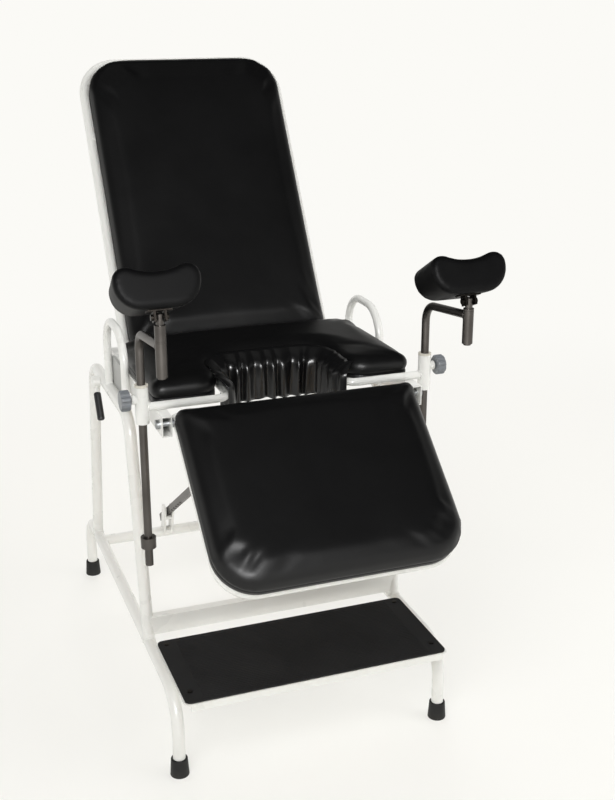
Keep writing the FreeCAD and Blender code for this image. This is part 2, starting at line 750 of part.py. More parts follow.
cross_tubes = []
for end in ("front", "rear"):
    middle = f"seat_cross_{end}_y"
    tube = box_tube_x(
        f"seat_cross_{end}",
        (f"-{SEAT_RAIL_INNER}", SEAT_RAIL_INNER),
        (f"{middle} - seat_cross_depth / 2", f"{middle} + seat_cross_depth / 2"),
        (f"{SEAT_RAIL_TOP} - seat_cross_height", SEAT_RAIL_TOP),
        "seat_cross_wall",
    )
    cross_tubes.append(tube)
node("seat_cross_tubes", group("seat_cross_set", *cross_tubes))


def seat_outline(half_width, front, rear, notch_half, notch_end, inset):
    """Seat shape with its notch, drawn in all round by an inset."""
    outer = f"{half_width} - {inset}"
    mouth = f"{notch_half} + {inset}"
    corner_rear = f"max(seat_rear_corner - {inset}; pad_least_corner)"
    corner_front = f"max(seat_front_corner - {inset}; pad_least_corner)"
    corner_mouth = f"max(notch_mouth_corner - {inset}; pad_least_corner)"
    return (
        (f"-({outer})", f"{front} + {inset}", corner_front),
        (f"-({mouth})", f"{front} + {inset}", corner_mouth),
        (f"-({mouth})", f"{notch_end} + {inset}", f"notch_corner + {inset}"),
        (mouth, f"{notch_end} + {inset}", f"notch_corner + {inset}"),
        (mouth, f"{front} + {inset}", corner_mouth),
        (outer, f"{front} + {inset}", corner_front),
        (outer, f"{rear} - {inset}", corner_rear),
        (f"-({outer})", f"{rear} - {inset}", corner_rear),
    )


# Seat board and the seat's crowned cushion, both with the notch
board_shape = seat_outline(
    SEAT_BOARD_HALF,
    f"({SEAT_FRONT} + seat_overhang)",
    "(seat_rear_y - seat_overhang)",
    "(notch_half_width + seat_overhang)",
    "(notch_end_y + seat_overhang)",
    "0",
)
node("seat_board", plate("seat_ply", "XY", board_shape, SEAT_RAIL_TOP, "seat_board_thickness"))


def seat_pad_outline(inset):
    """Seat cushion shape, which overhangs its board all round, drawn in by an inset."""
    half = f"({SEAT_BOARD_HALF} + seat_overhang)"
    return seat_outline(half, SEAT_FRONT, "seat_rear_y", "notch_half_width", "notch_end_y", inset)


seat = cushion("seat_pad", "XY", seat_pad_outline, SEAT_BOARD_TOP, "seat_cushion_thickness")
node("seat_cushion", seat)

# Front rail: bent tube welded on the seat rails' ends, which runs round the notch from socket to socket
corners = (
    (f"-{SOCKET_X}", "front_rail_y"),
    (f"-{FRONT_RAIL_NOTCH}", "front_rail_y", "front_rail_mouth_bend"),
    (f"-{FRONT_RAIL_NOTCH}", FRONT_RAIL_END, "notch_corner - front_rail_notch_gap - front_rail_od / 2"),
    (FRONT_RAIL_NOTCH, FRONT_RAIL_END, "notch_corner - front_rail_notch_gap - front_rail_od / 2"),
    (FRONT_RAIL_NOTCH, "front_rail_y", "front_rail_mouth_bend"),
    (SOCKET_X, "front_rail_y"),
)
front_rail = bent_bar(
    "front_rail_tube", "XY", corners, FRONT_RAIL_Z, "front_rail_od", "front_rail_od - 2 * front_rail_wall"
)
socket_cutters = [
    cylinder(
        f"front_rail_{side}_saddle",
        "z",
        (f"{sign} * {SOCKET_X}", "front_rail_y", SOCKET_BOTTOM),
        "socket_length",
        "socket_od / 2 + weld_gap",
    )
    for side, sign in SIDES
]
node("seat_front_rail", cut(front_rail, *socket_cutters))


def lining_shape():
    """Gathered leatherette round the notch: a U-shaped wall whose inner side is a row of soft folds."""
    half = size(f"{FRONT_RAIL_NOTCH} - front_rail_od / 2 - lining_gap")
    end = size(f"{FRONT_RAIL_END} - front_rail_od / 2 - lining_gap")
    bend = size("notch_corner - front_rail_notch_gap - front_rail_od - lining_gap")
    front = size("front_rail_y + front_rail_mouth_bend")
    wall = size("lining_thickness")
    straight = end - bend - front
    across = 2 * (half - bend)
    quarter = math.pi / 2 * (bend - wall)
    total = 2 * straight + 2 * quarter + across

    def along(distance):
        """Point and inward direction on the wall's inner line, from the left front end round to the right."""
        if distance > total / 2:
            point, inward = along(total - distance)
            return FreeCAD.Vector(-point.x, point.y, 0), FreeCAD.Vector(-inward.x, inward.y, 0)
        if distance <= straight:
            return FreeCAD.Vector(-half + wall, front + distance, 0), FreeCAD.Vector(1, 0, 0)
        if distance <= straight + quarter:
            angle = (distance - straight) / (bend - wall)
            inward = FreeCAD.Vector(math.cos(angle), -math.sin(angle), 0)
            return FreeCAD.Vector(-half + bend, end - bend, 0) - inward * (bend - wall), inward
        gone = distance - straight - quarter
        return FreeCAD.Vector(-half + bend + gone, end - wall, 0), FreeCAD.Vector(0, -1, 0)

    folds = round(total / size("lining_fold_pitch"))
    step = total / folds
    edges = []
    for fold in range(folds):
        first = along(fold * step)[0]
        crest, inward = along((fold + 0.5) * step)
        last = along((fold + 1) * step)[0]
        edges.append(Part.Arc(first, crest + inward * size("lining_fold"), last).toShape())
    right_end = along(total)[0]
    lean = math.sqrt(0.5)
    outer = [
        FreeCAD.Vector(half, front, 0),
        FreeCAD.Vector(half, end - bend, 0),
        FreeCAD.Vector(half - bend + bend * lean, end - bend + bend * lean, 0),
        FreeCAD.Vector(half - bend, end, 0),
    ]
    mirrored = [FreeCAD.Vector(-point.x, point.y, 0) for point in outer]
    edges.append(Part.LineSegment(right_end, outer[0]).toShape())
    edges.append(Part.LineSegment(outer[0], outer[1]).toShape())
    edges.append(Part.Arc(*outer[1:]).toShape())
    edges.append(Part.LineSegment(outer[3], mirrored[3]).toShape())
    edges.append(Part.Arc(*mirrored[:0:-1]).toShape())
    edges.append(Part.LineSegment(mirrored[1], mirrored[0]).toShape())
    edges.append(Part.LineSegment(mirrored[0], along(0)[0]).toShape())
    face = Part.Face(Part.Wire(edges))
    face.translate(FreeCAD.Vector(0, 0, size(f"{FRONT_RAIL_Z} - lining_drop")))
    wall_high = face.extrude(FreeCAD.Vector(0, 0, size("lining_rise + lining_drop")))
    low_end = FreeCAD.Vector(-2 * half, end, size(f"{FRONT_RAIL_Z} - lining_drop"))
    low_front = FreeCAD.Vector(-2 * half, front, size(f"{FRONT_RAIL_Z} - lining_front_drop"))
    fall = low_front - low_end
    far_end = low_end - fall
    far_front = low_front + fall
    under = [far_end, far_front, FreeCAD.Vector(-2 * half, far_front.y, far_end.z)]
    wedge = Part.Face(Part.makePolygon([*under, under[0]])).extrude(FreeCAD.Vector(4 * half, 0, 0))
    return wall_high.cut(wedge)


lining = doc.addObject("Part::Feature", "gathered_lining")
lining.Shape = lining_shape()
node("notch_lining", lining)

# Rod sockets: vertical tubes on the ends of the front rail, with a tapped boss for the clamp knob
for side, sign in SIDES:
    x = f"{sign} * {SOCKET_X}"
    bottom = (x, "front_rail_y", SOCKET_BOTTOM)
    tube = cylinder(f"socket_{side}_tube", "z", bottom, "socket_length", "socket_od / 2")
    boss_length = "(socket_od / 2 + knob_boss)"
    boss_x = x if sign > 0 else f"{x} - {boss_length}"
    boss_start = (boss_x, "front_rail_y", KNOB_Z)
    boss = cylinder(f"socket_{side}_boss", "x", boss_start, boss_length, "knob_boss_d / 2")
    bore = cylinder(f"socket_{side}_bore", "z", bottom, "socket_length", f"{BUSH_RADIUS} + bush_fit")
    tap = cylinder(f"socket_{side}_tap", "x", boss_start, boss_length, "stud_d / 2 + stud_fit")
    node(f"crutch_socket_{side}", cut(fuse(f"socket_{side}_welded", tube, boss), bore, tap))

# Grab handles: bent tube loops welded on the top rails
for side, sign in SIDES:
    corners = (
        ("handle_front_y", "top_rail_z"),
        ("handle_front_y", "handle_top_z", "handle_bend"),
        ("handle_rear_y", "handle_top_z", "handle_bend"),
        ("handle_rear_y", "top_rail_z"),
    )
    lift = f"{sign} * frame_half_width"
    loop = bent_bar(f"handle_{side}", "YZ", corners, lift, "handle_od", "handle_od - 2 * handle_wall")
    node(f"grab_handle_{side}", cut(loop, side_rail_cutter(f"handle_{side}_saddle", sign, "top_rail_z")))


def hinge_bolt(name, sign, y, half, tube):
    """Shoulder bolt through a seat rail and a tube end, with its head outside and its nut inside."""
    outer = SEAT_RAIL_OUTER
    nut = f"({half} - {tube} / 2 - hinge_nut_gap)"
    stack = (
        (outer, f"{outer} + hinge_head", "hinge_head_d / 2"),
        (f"{nut} - hinge_head", outer, "hinge_bolt_d / 2"),
        (f"{half} + {tube} / 2 + hinge_shoulder_gap", SEAT_RAIL_INNER, "hinge_shoulder_d / 2"),
        (f"{nut} - hinge_head", nut, "hinge_head_d / 2"),
    )
    pieces = []
    for number, (low, high, radius) in enumerate(stack):
        start = low if sign > 0 else f"-({high})"
        length = f"({high}) - ({low})"
        pieces.append(cylinder(f"{name}_{number}", "x", (start, y, HINGE_Z), length, radius))
    return fuse(name, *pieces)


# Hinge bolts of the leg rest and the backrest
bolts = []
for side, sign in SIDES:
    bolts.append(hinge_bolt(f"leg_bolt_{side}", sign, "leg_hinge_y", LEG_HALF, "leg_tube_od"))
    bolts.append(hinge_bolt(f"back_bolt_{side}", sign, "back_hinge_y", BACK_HALF, "back_tube_od"))
node("hinge_bolts", group("hinge_bolt_set", *bolts))

# Backrest: bent tube frame with cross tubes, board and crowned cushion
corners = (
    (f"-{BACK_HALF}", "-back_tube_below"),
    (f"-{BACK_HALF}", "back_tube_top", "back_tube_bend"),
    (BACK_HALF, "back_tube_top", "back_tube_bend"),
    (BACK_HALF, "-back_tube_below"),
)
back_bore = "back_tube_od - 2 * back_tube_wall"
back_frame = bent_bar("back_tube", "XZ", corners, "0", "back_tube_od", back_bore)
back_node(
    "backrest_frame", cut(back_frame, through_x("back_tube_hole", "0", "0", "hinge_bolt_d / 2 + hinge_fit"))
)
cross_tubes = []
for level in ("low", "high"):
    corners = ((f"-{BACK_HALF}", f"back_cross_{level}"), (BACK_HALF, f"back_cross_{level}"))
    tube = bent_bar(f"back_cross_tube_{level}", "XZ", corners, "0", "back_tube_od", back_bore)
    saddles = [
        cylinder(
            f"back_cross_{level}_{side}",
            "z",
            (f"{sign} * {BACK_HALF}", "0", "0"),
            "back_tube_top",
            "back_tube_od / 2 + weld_gap",
        )
        for side, sign in SIDES
    ]
    cross_tubes.append(cut(tube, *saddles))
back_node("backrest_cross_tubes", group("back_cross_set", *cross_tubes))


def back_outline(inset):
    """Backrest shape with round upper corners, drawn in by an inset."""
    half = f"back_pad_half_width - {inset}"
    low = f"back_pad_bottom + {inset}"
    high = f"back_pad_top - {inset}"
    low_corner = f"max(back_pad_bottom_corner - {inset}; pad_least_corner)"
    high_corner = f"max(back_pad_top_corner - {inset}; pad_least_corner)"
    return (
        (f"-({half})", low, low_corner),
        (half, low, low_corner),
        (half, high, high_corner),
        (f"-({half})", high, high_corner),
    )


back_node(
    "backrest_board",
    plate("back_ply", "XZ", back_outline("back_board_inset"), "back_tube_od / 2", "back_board_thickness"),
)
back_node("backrest_cushion", cushion("back_pad", "XZ", back_outline, BACK_BOARD_FRONT, "back_pad_thickness"))


def sector(name, radius, start, sweep):
    """A slice of the quadrant's disc about the hinge, from a start angle above +Y through a sweep."""
    disc = doc.addObject("Part::Cylinder", name)
    turned = f"rotationx({start} + 90) * rotationy(90)"
    at = f"placement(vector({QUADRANT_FACE}; 0; 0); {turned})"
    return bind(disc, Radius=radius, Height="quadrant_thickness", Angle=sweep, Placement=at)


# Quadrant: slotted plate welded inside the left leg of the backrest frame, about the hinge
slot_start = f"({CLAMP_ANGLE} - quadrant_before)"
slot_sweep = "(quadrant_before + quadrant_after)"
slot_half = "(clamp_bolt_d / 2 + clamp_slot_play)"
disc_radius = f"{CLAMP_RADIUS} + {slot_half} + quadrant_rim"
disc_start = f"{slot_start} - quadrant_margin"
disc_sweep = f"{slot_sweep} + 2 * quadrant_margin"
quadrant = fuse(
    "quadrant_plate",
    sector("quadrant_disc", disc_radius, disc_start, disc_sweep),
    cylinder("quadrant_eye", "x", (QUADRANT_FACE, "0", "0"), "quadrant_thickness", "quadrant_hub"),
    box(
        "quadrant_strip_bar",
        (QUADRANT_FACE, f"{QUADRANT_FACE} + quadrant_thickness"),
        ("-quadrant_strip_width / 2", "quadrant_strip_width / 2"),
        ("0", "quadrant_strip"),
    ),
)
slot = cut(
    sector("quadrant_slot_outer", f"{CLAMP_RADIUS} + {slot_half}", slot_start, slot_sweep),
    sector("quadrant_slot_inner", f"{CLAMP_RADIUS} - {slot_half}", slot_start, slot_sweep),
)
slot_ends = []
for name, angle in (("before", slot_start), ("after", f"({slot_start} + {slot_sweep})")):
    at = (QUADRANT_FACE, f"{CLAMP_RADIUS} * cos({angle})", f"{CLAMP_RADIUS} * sin({angle})")
    slot_ends.append(cylinder(f"quadrant_slot_{name}", "x", at, "quadrant_thickness", slot_half))
hinge_hole = through_x("quadrant_hinge_hole", "0", "0", "hinge_head_d / 2 + hinge_nut_gap")
back_node("clamp_quadrant", cut(quadrant, slot, *slot_ends, hinge_hole))

# Clamp bolt through the left top rail, with its spacer and its lever
RAIL_OUTER = "(-frame_half_width - tube_od / 2)"
spacer_start = ("-frame_half_width", "clamp_y", "top_rail_z")
spacer_length = f"({QUADRANT_FACE} - clamp_face_gap + frame_half_width)"
spacer = cylinder("spacer_tube", "x", spacer_start, spacer_length, "spacer_od / 2")
spacer_bore = cylinder("spacer_bore", "x", spacer_start, spacer_length, "clamp_bolt_d / 2 + clamp_fit")
node("clamp_spacer", cut(spacer, spacer_bore, side_rail_cutter("spacer_saddle", -1, "top_rail_z")))
bolt_start = f"({RAIL_OUTER} - clamp_face_gap - lever_hub_length / 2)"
head_start = f"({QUADRANT_FACE} + quadrant_thickness + clamp_face_gap)"
clamp_axis = ("clamp_y", "top_rail_z")
shank_length = f"{head_start} - {bolt_start}"
shank = cylinder("clamp_shank", "x", (bolt_start, *clamp_axis), shank_length, "clamp_bolt_d / 2")
head = cylinder("clamp_head_end", "x", (head_start, *clamp_axis), "clamp_head", "clamp_head_d / 2")
node("clamp_bolt", fuse("clamp_screw", shank, head))


def lever_node(label, thing):
    """Names a piece of the clamp lever: drawn about the bolt with the lever hanging along -Z."""
    thing.Label = label
    turn(thing, (-1, 0, 0), "lever_tilt")
    place(thing, y="datum_y + clamp_y", z="top_rail_z")
    nodes[label] = thing


hub_start = f"({RAIL_OUTER} - clamp_face_gap - lever_hub_length)"
hub = cylinder("lever_hub_round_bar", "x", (hub_start, "0", "0"), "lever_hub_length", "lever_hub_d / 2")


def is_hub_face(edge):
    """Whether an edge lies in the lever hub's outer face."""
    return edge.CenterOfMass.x < size(f"{hub_start} + lever_hub_round")


hub_soft = rounded("lever_hub_dome", hub, "lever_hub_round", is_hub_face)
lever_x = f"({hub_start} + lever_hub_length / 2)"
bar = cylinder("lever_bar_rod", "z", (lever_x, "0", "-lever_length"), "lever_length", "lever_bar_d / 2")
blind = cylinder("lever_bore", "x", (lever_x, "0", "0"), "lever_hub_length", "clamp_bolt_d / 2 + clamp_fit")
lever_node("clamp_lever", cut(fuse("lever_welded", hub_soft, bar), blind))
grip_bottom = "(-lever_length - grip_end_wall)"
grip = cylinder("grip_bar", "z", (lever_x, "0", grip_bottom), f"-grip_start - {grip_bottom}", "grip_d / 2")
grip_soft = rounded("grip_ends", grip, "grip_round", is_circle)
grip_bore_start = (lever_x, "0", "-lever_length")
grip_bore = cylinder("grip_bore", "z", grip_bore_start, "lever_length", "lever_bar_d / 2 + grip_fit")
lever_node("clamp_lever_grip", cut(grip_soft, grip_bore))

# Leg rest: bent tube frame with a cross tube, lugs for the notched bar, board and crowned cushion
corners = (
    (f"-{LEG_HALF}", "leg_tube_behind"),
    (f"-{LEG_HALF}", "-leg_tube_end", "leg_tube_bend"),
    (LEG_HALF, "-leg_tube_end", "leg_tube_bend"),
    (LEG_HALF, "leg_tube_behind"),
)
leg_frame = bent_bar("leg_tube", "XY", corners, "0", "leg_tube_od", "leg_tube_od - 2 * leg_tube_wall")
leg_hole = through_x("leg_tube_hole", "0", "0", "hinge_bolt_d / 2 + hinge_fit")
leg_node("leg_rest_frame", cut(leg_frame, leg_hole))
corners = ((f"-{LEG_HALF}", "-rack_pivot_along"), (LEG_HALF, "-rack_pivot_along"))
leg_cross = bent_bar("leg_cross", "XY", corners, "0", "leg_tube_od", "leg_tube_od - 2 * leg_tube_wall")
saddles = [
    cylinder(
        f"leg_cross_{side}",
        "y",
        (f"{sign} * {LEG_HALF}", "-leg_tube_end", "0"),
        "leg_tube_end",
        "leg_tube_od / 2 + weld_gap",
    )
    for side, sign in SIDES
]
leg_node("leg_rest_cross_tube", cut(leg_cross, *saddles))


def leg_outline(inset):
    """Leg rest shape with round lower corners, drawn in by an inset."""
    half = f"leg_pad_half_width - {inset}"
    low = f"-leg_pad_end + {inset}"
    high = f"-leg_pad_start - {inset}"
    low_corner = f"max(leg_pad_end_corner - {inset}; pad_least_corner)"
    high_corner = f"max(leg_pad_start_corner - {inset}; pad_least_corner)"
    return (
        (f"-({half})", low, low_corner),
        (half, low, low_corner),
        (half, high, high_corner),
        (f"-({half})", high, high_corner),
    )


leg_node(
    "leg_rest_board",
    plate("leg_ply", "XY", leg_outline("leg_board_inset"), "leg_tube_od / 2", "leg_board_thickness"),
)
leg_node("leg_rest_cushion", cushion("leg_pad", "XY", leg_outline, LEG_BOARD_TOP, "leg_pad_thickness"))

# Lugs: a pair of plates under the cross tube, with the pivot pin of the notched bar
lug_gap = "(rack_thickness / 2 + rack_side_gap)"
lugs = []
for side, sign in SIDES:
    low = f"rack_x + {lug_gap}" if sign > 0 else f"rack_x - {lug_gap} - lug_thickness"
    corners = (
        ("-rack_pivot_along - lug_top_half", "0"),
        ("-rack_pivot_along - lug_radius", "-rack_pivot_behind - lug_radius", "lug_corner"),
        ("-rack_pivot_along + lug_radius", "-rack_pivot_behind - lug_radius", "lug_corner"),
        ("-rack_pivot_along + lug_top_half", "0"),
    )
    lug = plate(f"lug_{side}", "YZ", corners, low, "lug_thickness")
    tube_end = ("-frame_half_width", "-rack_pivot_along", "0")
    saddle_radius = "leg_tube_od / 2 + weld_gap"
    saddle = cylinder(f"lug_{side}_saddle", "x", tube_end, "2 * frame_half_width", saddle_radius)
    hole_radius = "rack_pin_d / 2 + rack_fit"
    pin_hole = through_x(f"lug_{side}_hole", "-rack_pivot_along", "-rack_pivot_behind", hole_radius)
    lugs.append(cut(lug, saddle, pin_hole))
leg_node("rack_lugs", group("lug_pair", *lugs))
pin_half = f"({lug_gap} + lug_thickness)"
pin_at = ("-rack_pivot_along", "-rack_pivot_behind")
pin = cylinder("rack_pin_shank", "x", (f"rack_x - {pin_half}", *pin_at), f"2 * {pin_half}", "rack_pin_d / 2")
pin_heads = [
    cylinder(f"rack_pin_head{number}", "x", (start, *pin_at), "rack_pin_head", "rack_pin_head_d / 2")
    for number, start in enumerate((f"rack_x - {pin_half} - rack_pin_head", f"rack_x + {pin_half}"))
]
leg_node("rack_pivot_pin", fuse("rack_pin", pin, *pin_heads))

# Notched bar: drawn from its pivot along +Y, teeth on the lower edge, then laid down its slope
rack_faces = ("rack_x - rack_thickness / 2", "rack_x + rack_thickness / 2")
blade = box("rack_blade", rack_faces, ("0", "rack_length"), ("-rack_height / 2", "rack_height / 2"))
eye = cylinder("rack_eye_end", "x", (rack_faces[0], "0", "0"), "rack_thickness", "rack_eye")
notches = []
for number in range(SIZES["rack_tooth_count"]):
    at = f"(rack_tooth_first + {number} * rack_tooth_pitch)"
    tooth = doc.addObject("Part::Prism", f"rack_notch{number}")
    tooth.Polygon = 3
    tooth.Placement = FreeCAD.Placement(FreeCAD.Vector(), TURN_TO_X)
    bind(tooth, Circumradius="rack_tooth_depth", Height="rack_thickness")
    notches.append(place(tooth, rack_faces[0], at, "-rack_height / 2"))
rack_hole = through_x("rack_hole", "0", "0", "rack_pin_d / 2 + rack_fit")
rack = cut(fuse("rack_bar", blade, eye), *notches, rack_hole)
rack.Label = "leg_rest_rack"
turn(rack, (-1, 0, 0), "rack_slope")
place(rack, y=f"datum_y + {RACK_PIVOT_Y}", z=RACK_PIVOT_Z)
nodes["leg_rest_rack"] = rack

# Catch: a pair of cheeks on the rear cross tube with the pin that the notches drop on
catch_pieces = []
cheek_gap = "(rack_thickness / 2 + catch_side_gap)"
for side, sign in SIDES:
    low = f"rack_x + {cheek_gap}" if sign > 0 else f"rack_x - {cheek_gap} - catch_plate"
    corners = (
        ("rear_tube_y - catch_width / 2", "base_rail_z"),
        ("rear_tube_y + catch_width / 2", "base_rail_z"),
        (f"{CATCH_Y} + catch_width / 2", f"{CATCH_Z} + catch_rise", "catch_width / 4"),
        (f"{CATCH_Y} - catch_width / 2", f"{CATCH_Z} + catch_rise", "catch_width / 4"),
    )
    catch_pieces.append(plate(f"catch_cheek_{side}", "YZ", corners, low, "catch_plate"))
catch_half = f"({cheek_gap} + catch_plate)"
catch_start = (f"rack_x - {catch_half}", CATCH_Y, CATCH_Z)
catch_pin = cylinder("catch_cross_pin", "x", catch_start, f"2 * {catch_half}", "catch_pin_d / 2")
rear_cutter = cylinder(
    "catch_saddle",
    "x",
    ("-frame_half_width", "rear_tube_y", "base_rail_z"),
    "2 * frame_half_width",
    "tube_od / 2 + weld_gap",
)
node("rack_catch", cut(fuse("catch_welded", *catch_pieces, catch_pin), rear_cutter))


def cup_section(scale, low, extra):
    """A cup's outline across its length: round belly, two lobes and the hollow between them."""
    half = f"({scale} * cup_half_width + {extra})"
    bottom = f"({low} - {extra})"
    top = f"({low} + {scale} * cup_lobe_height)"
    hollow = f"({low} + {scale} * cup_hollow_height)"
    belly = f"{scale} * cup_belly_radius"
    lobe = f"{scale} * cup_lobe_radius"
    return (
        (f"-{half}", bottom, belly),
        (half, bottom, belly),
        (half, top, lobe),
        ("0", hollow, f"{scale} * cup_hollow_radius"),
        (f"-{half}", top, lobe),
    )


def cup_form(name, extra):
    """A cup, larger at the front, or a cutter that is larger than it by an extra."""
    body = doc.addObject("PartDesign::Body", name)
    front = cup_section("1", "cup_seat", extra)
    rear = cup_section("cup_taper", "(cup_seat + cup_rear_rise)", extra)
    loft = body.newObject("PartDesign::AdditiveLoft", f"{name}_loft")
    loft.Profile = outline(body, f"{name}_rear", "XZ", rear, lift="-cup_back")
    loft.Sections = [outline(body, f"{name}_front", "XZ", front, lift="cup_front")]
    loft.Ruled = True
    return body


def is_end_edge(edge):
    """Whether an edge lies in a cup's front or rear face."""
    first, last = (edge.valueAt(parameter) for parameter in edge.ParameterRange)
    return abs(last.y - first.y) < size("cup_round")


def cup_node(label, thing, x, z):
    """Names a piece that tilts with a cup: drawn about the bolt, which lies at an x and a z."""
    thing.Label = label
    turn(thing, (-1, 0, 0), "cup_tilt")
    place(thing, x, f"datum_y + {CRUTCH_END_Y}", z)
    nodes[label] = thing


# Knee crutches
for side, sign in SIDES:
    x = f"{sign} * {SOCKET_X}"
    rod_radius = "crutch_rod_d / 2"
    end = (x, CRUTCH_END_Y)

    # Bush: flanged plastic liner that turns in the socket and lets the rod slide
    liner_start = (x, "front_rail_y", SOCKET_BOTTOM)
    liner = cylinder(f"bush_{side}_liner", "z", liner_start, "socket_length", BUSH_RADIUS)
    flange_start = (x, "front_rail_y", f"{SOCKET_TOP} + stem_collar_gap")
    flange = cylinder(f"bush_{side}_flange", "z", flange_start, "bush_flange", "socket_od / 2")
    neck_length = "socket_length + stem_collar_gap + bush_flange"
    neck = cylinder(f"bush_{side}_neck", "z", liner_start, neck_length, BUSH_RADIUS)
    bore = cylinder(f"bush_{side}_bore", "z", liner_start, neck_length, f"{rod_radius} + bush_fit")
    node(f"crutch_bush_{side}", cut(fuse(f"bush_{side}_moulded", liner, flange, neck), bore))

    # Rod bent forward into the arm, with the stem's socket welded on its end
    corners = (
        ("front_rail_y", "crutch_bottom_z"),
        ("front_rail_y", "crutch_arm_z", "crutch_bend"),
        (CRUTCH_END_Y, CRUTCH_END_Z),
    )
    rod = bent_bar(f"crutch_{side}", "YZ", corners, x, "crutch_rod_d")
    socket_low = (*end, f"{CRUTCH_END_Z} - arm_socket_low")
    socket_length = "arm_socket_low + arm_socket_high"
    arm_socket = cylinder(f"arm_socket_{side}", "z", socket_low, socket_length, "arm_socket_od / 2")
    arm_bore = cylinder(f"arm_bore_{side}", "z", socket_low, socket_length, "stem_d / 2 + stem_fit")
    node(f"crutch_arm_{side}", cut(fuse(f"crutch_{side}_welded", rod, arm_socket), arm_bore))

    # Stop collar near the lower end of the rod
    collar_at = (x, "front_rail_y", "crutch_bottom_z + collar_rise")
    collar = cylinder(f"collar_{side}_ring", "z", collar_at, "collar_height", "collar_od / 2")
    collar_bore = cylinder(f"collar_{side}_bore", "z", collar_at, "collar_height", f"{rod_radius} + bush_fit")
    node(f"crutch_collar_{side}", cut(collar, collar_bore))

    pivot_z = f"({CRUTCH_END_Z} + arm_socket_high + cup_pivot_rise_{side})"

    # Stem: turns in the arm's socket on its collar, bored across for the cup's bolt
    stem_bottom = f"({CRUTCH_END_Z} - arm_socket_low - stem_tail)"
    stem_length = f"{pivot_z} + stem_above_pivot - {stem_bottom}"
    stem = cylinder(f"stem_{side}_bar", "z", (*end, stem_bottom), stem_length, "stem_d / 2")
    stem_collar_at = (*end, f"{CRUTCH_END_Z} + arm_socket_high + stem_collar_gap")
    stem_collar_height = f"cup_pivot_rise_{side} - stem_neck"
    stem_collar = cylinder(
        f"stem_{side}_collar", "z", stem_collar_at, stem_collar_height, "stem_collar_d / 2"
    )
    bolt_hole = cylinder(
        f"stem_{side}_hole",
        "x",
        (f"{x} - stem_d", CRUTCH_END_Y, pivot_z),
        "2 * stem_d",
        "cup_bolt_d / 2 + stem_fit",
    )
    node(f"cup_stem_{side}", cut(fuse(f"stem_{side}_turned", stem, stem_collar), bolt_hole))

    # Bracket, bolt and cup: drawn about the bolt, then tilted
    cheek_in = "(stem_d / 2 + cheek_gap)"
    cheek_out = f"({cheek_in} + cheek_thickness)"
    bracket_pieces = [
        box(
            f"bracket_{side}_cheek{number}",
            faces,
            ("-cheek_half_length", "cheek_half_length"),
            ("-cheek_below", "cup_seat + 2 * cheek_thickness"),
        )
        for number, faces in enumerate(((f"-{cheek_out}", f"-{cheek_in}"), (cheek_in, cheek_out)))
    ]
    bracket_pieces.append(
        box(
            f"bracket_{side}_saddle_plate",
            (f"-{cheek_out} - cheek_half_length", f"{cheek_out} + cheek_half_length"),
            ("-cheek_half_length", "cheek_half_length"),
            ("cup_seat - saddle_plate", "cup_seat + 2 * cheek_thickness"),
        )
    )
    shell = cup_form(f"bracket_{side}_shell", "weld_gap")
    hole = through_x(f"bracket_{side}_hole", "0", "0", "cup_bolt_d / 2 + stem_fit")
    bracket = cut(fuse(f"bracket_{side}_welded", *bracket_pieces), shell, hole)
    cup_node(f"cup_bracket_{side}", bracket, x, pivot_z)
    bolt_length = f"2 * {cheek_out}"
    bolt = cylinder(f"cup_bolt_{side}_shank", "x", (f"-{cheek_out}", "0", "0"), bolt_length, "cup_bolt_d / 2")
    bolt_ends = [
        cylinder(
            f"cup_bolt_{side}_end{number}", "x", (start, "0", "0"), "cup_bolt_head", "cup_bolt_head_d / 2"
        )
        for number, start in enumerate((f"-{cheek_out} - cup_bolt_head", cheek_out))
    ]
    cup_node(f"cup_bolt_{side}", fuse(f"cup_bolt_{side}_set", bolt, *bolt_ends), x, pivot_z)
    moulding = cup_form(f"cup_{side}_form", "0")
    cup_node(f"leg_cup_{side}", rounded(f"cup_{side}_soft", moulding, "cup_round", is_end_edge), x, pivot_z)

    # Clamp knob: scalloped head with its stud through the socket's boss
    head_x = f"({SOCKET_X} + socket_od / 2 + knob_boss + knob_gap)"
    knob_axis = ("front_rail_y", KNOB_Z)
    head_start = head_x if sign > 0 else f"-({head_x} + knob_thickness)"
    head = cylinder(f"knob_{side}_head", "x", (head_start, *knob_axis), "knob_thickness", "knob_d / 2")
    soft_head = rounded(f"knob_{side}_soft", head, "knob_round", is_circle)
    bites = []
    for number in range(SIZES["knob_scallops"]):
        angle = number * 360 / SIZES["knob_scallops"]
        reach = "(knob_d / 2 + knob_scallop_d / 2 - knob_scallop_bite)"
        at = (head_start, f"front_rail_y + {reach} * cos({angle})", f"{KNOB_Z} + {reach} * sin({angle})")
        bites.append(cylinder(f"knob_{side}_bite{number}", "x", at, "knob_thickness", "knob_scallop_d / 2"))
    stud_in = f"({SOCKET_X} + {BUSH_RADIUS} + stud_tip_gap)"
    stud_start = stud_in if sign > 0 else f"-{head_x}"
    stud = cylinder(f"knob_{side}_stud", "x", (stud_start, *knob_axis), f"{head_x} - {stud_in}", "stud_d / 2")
    node(f"crutch_knob_{side}", fuse(f"knob_{side}_moulded", cut(soft_head, *bites), stud))

doc.recompute()
for thing in doc.Objects:
    if "Invalid" in thing.State or "Error" in thing.State:
        raise RuntimeError(f"{thing.Label} failed: {thing.State}")
for label, thing in nodes.items():
    if thing.Shape.isNull() or not thing.Shape.isValid() or not thing.Shape.Solids:
        raise RuntimeError(f"{label} has no valid solid")

os.makedirs("parts", exist_ok=True)
for label, thing in nodes.items():
    thing.Shape.exportStep(f"parts/{label}.step")
    extent = thing.Shape.BoundBox
    print(f"{label}: {len(thing.Shape.Solids)} solid(s), {thing.Shape.Volume / 1000:.1f} cm3, {extent}")
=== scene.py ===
import json
import math

import bmesh
import bpy
from mathutils import Matrix, Vector, noise


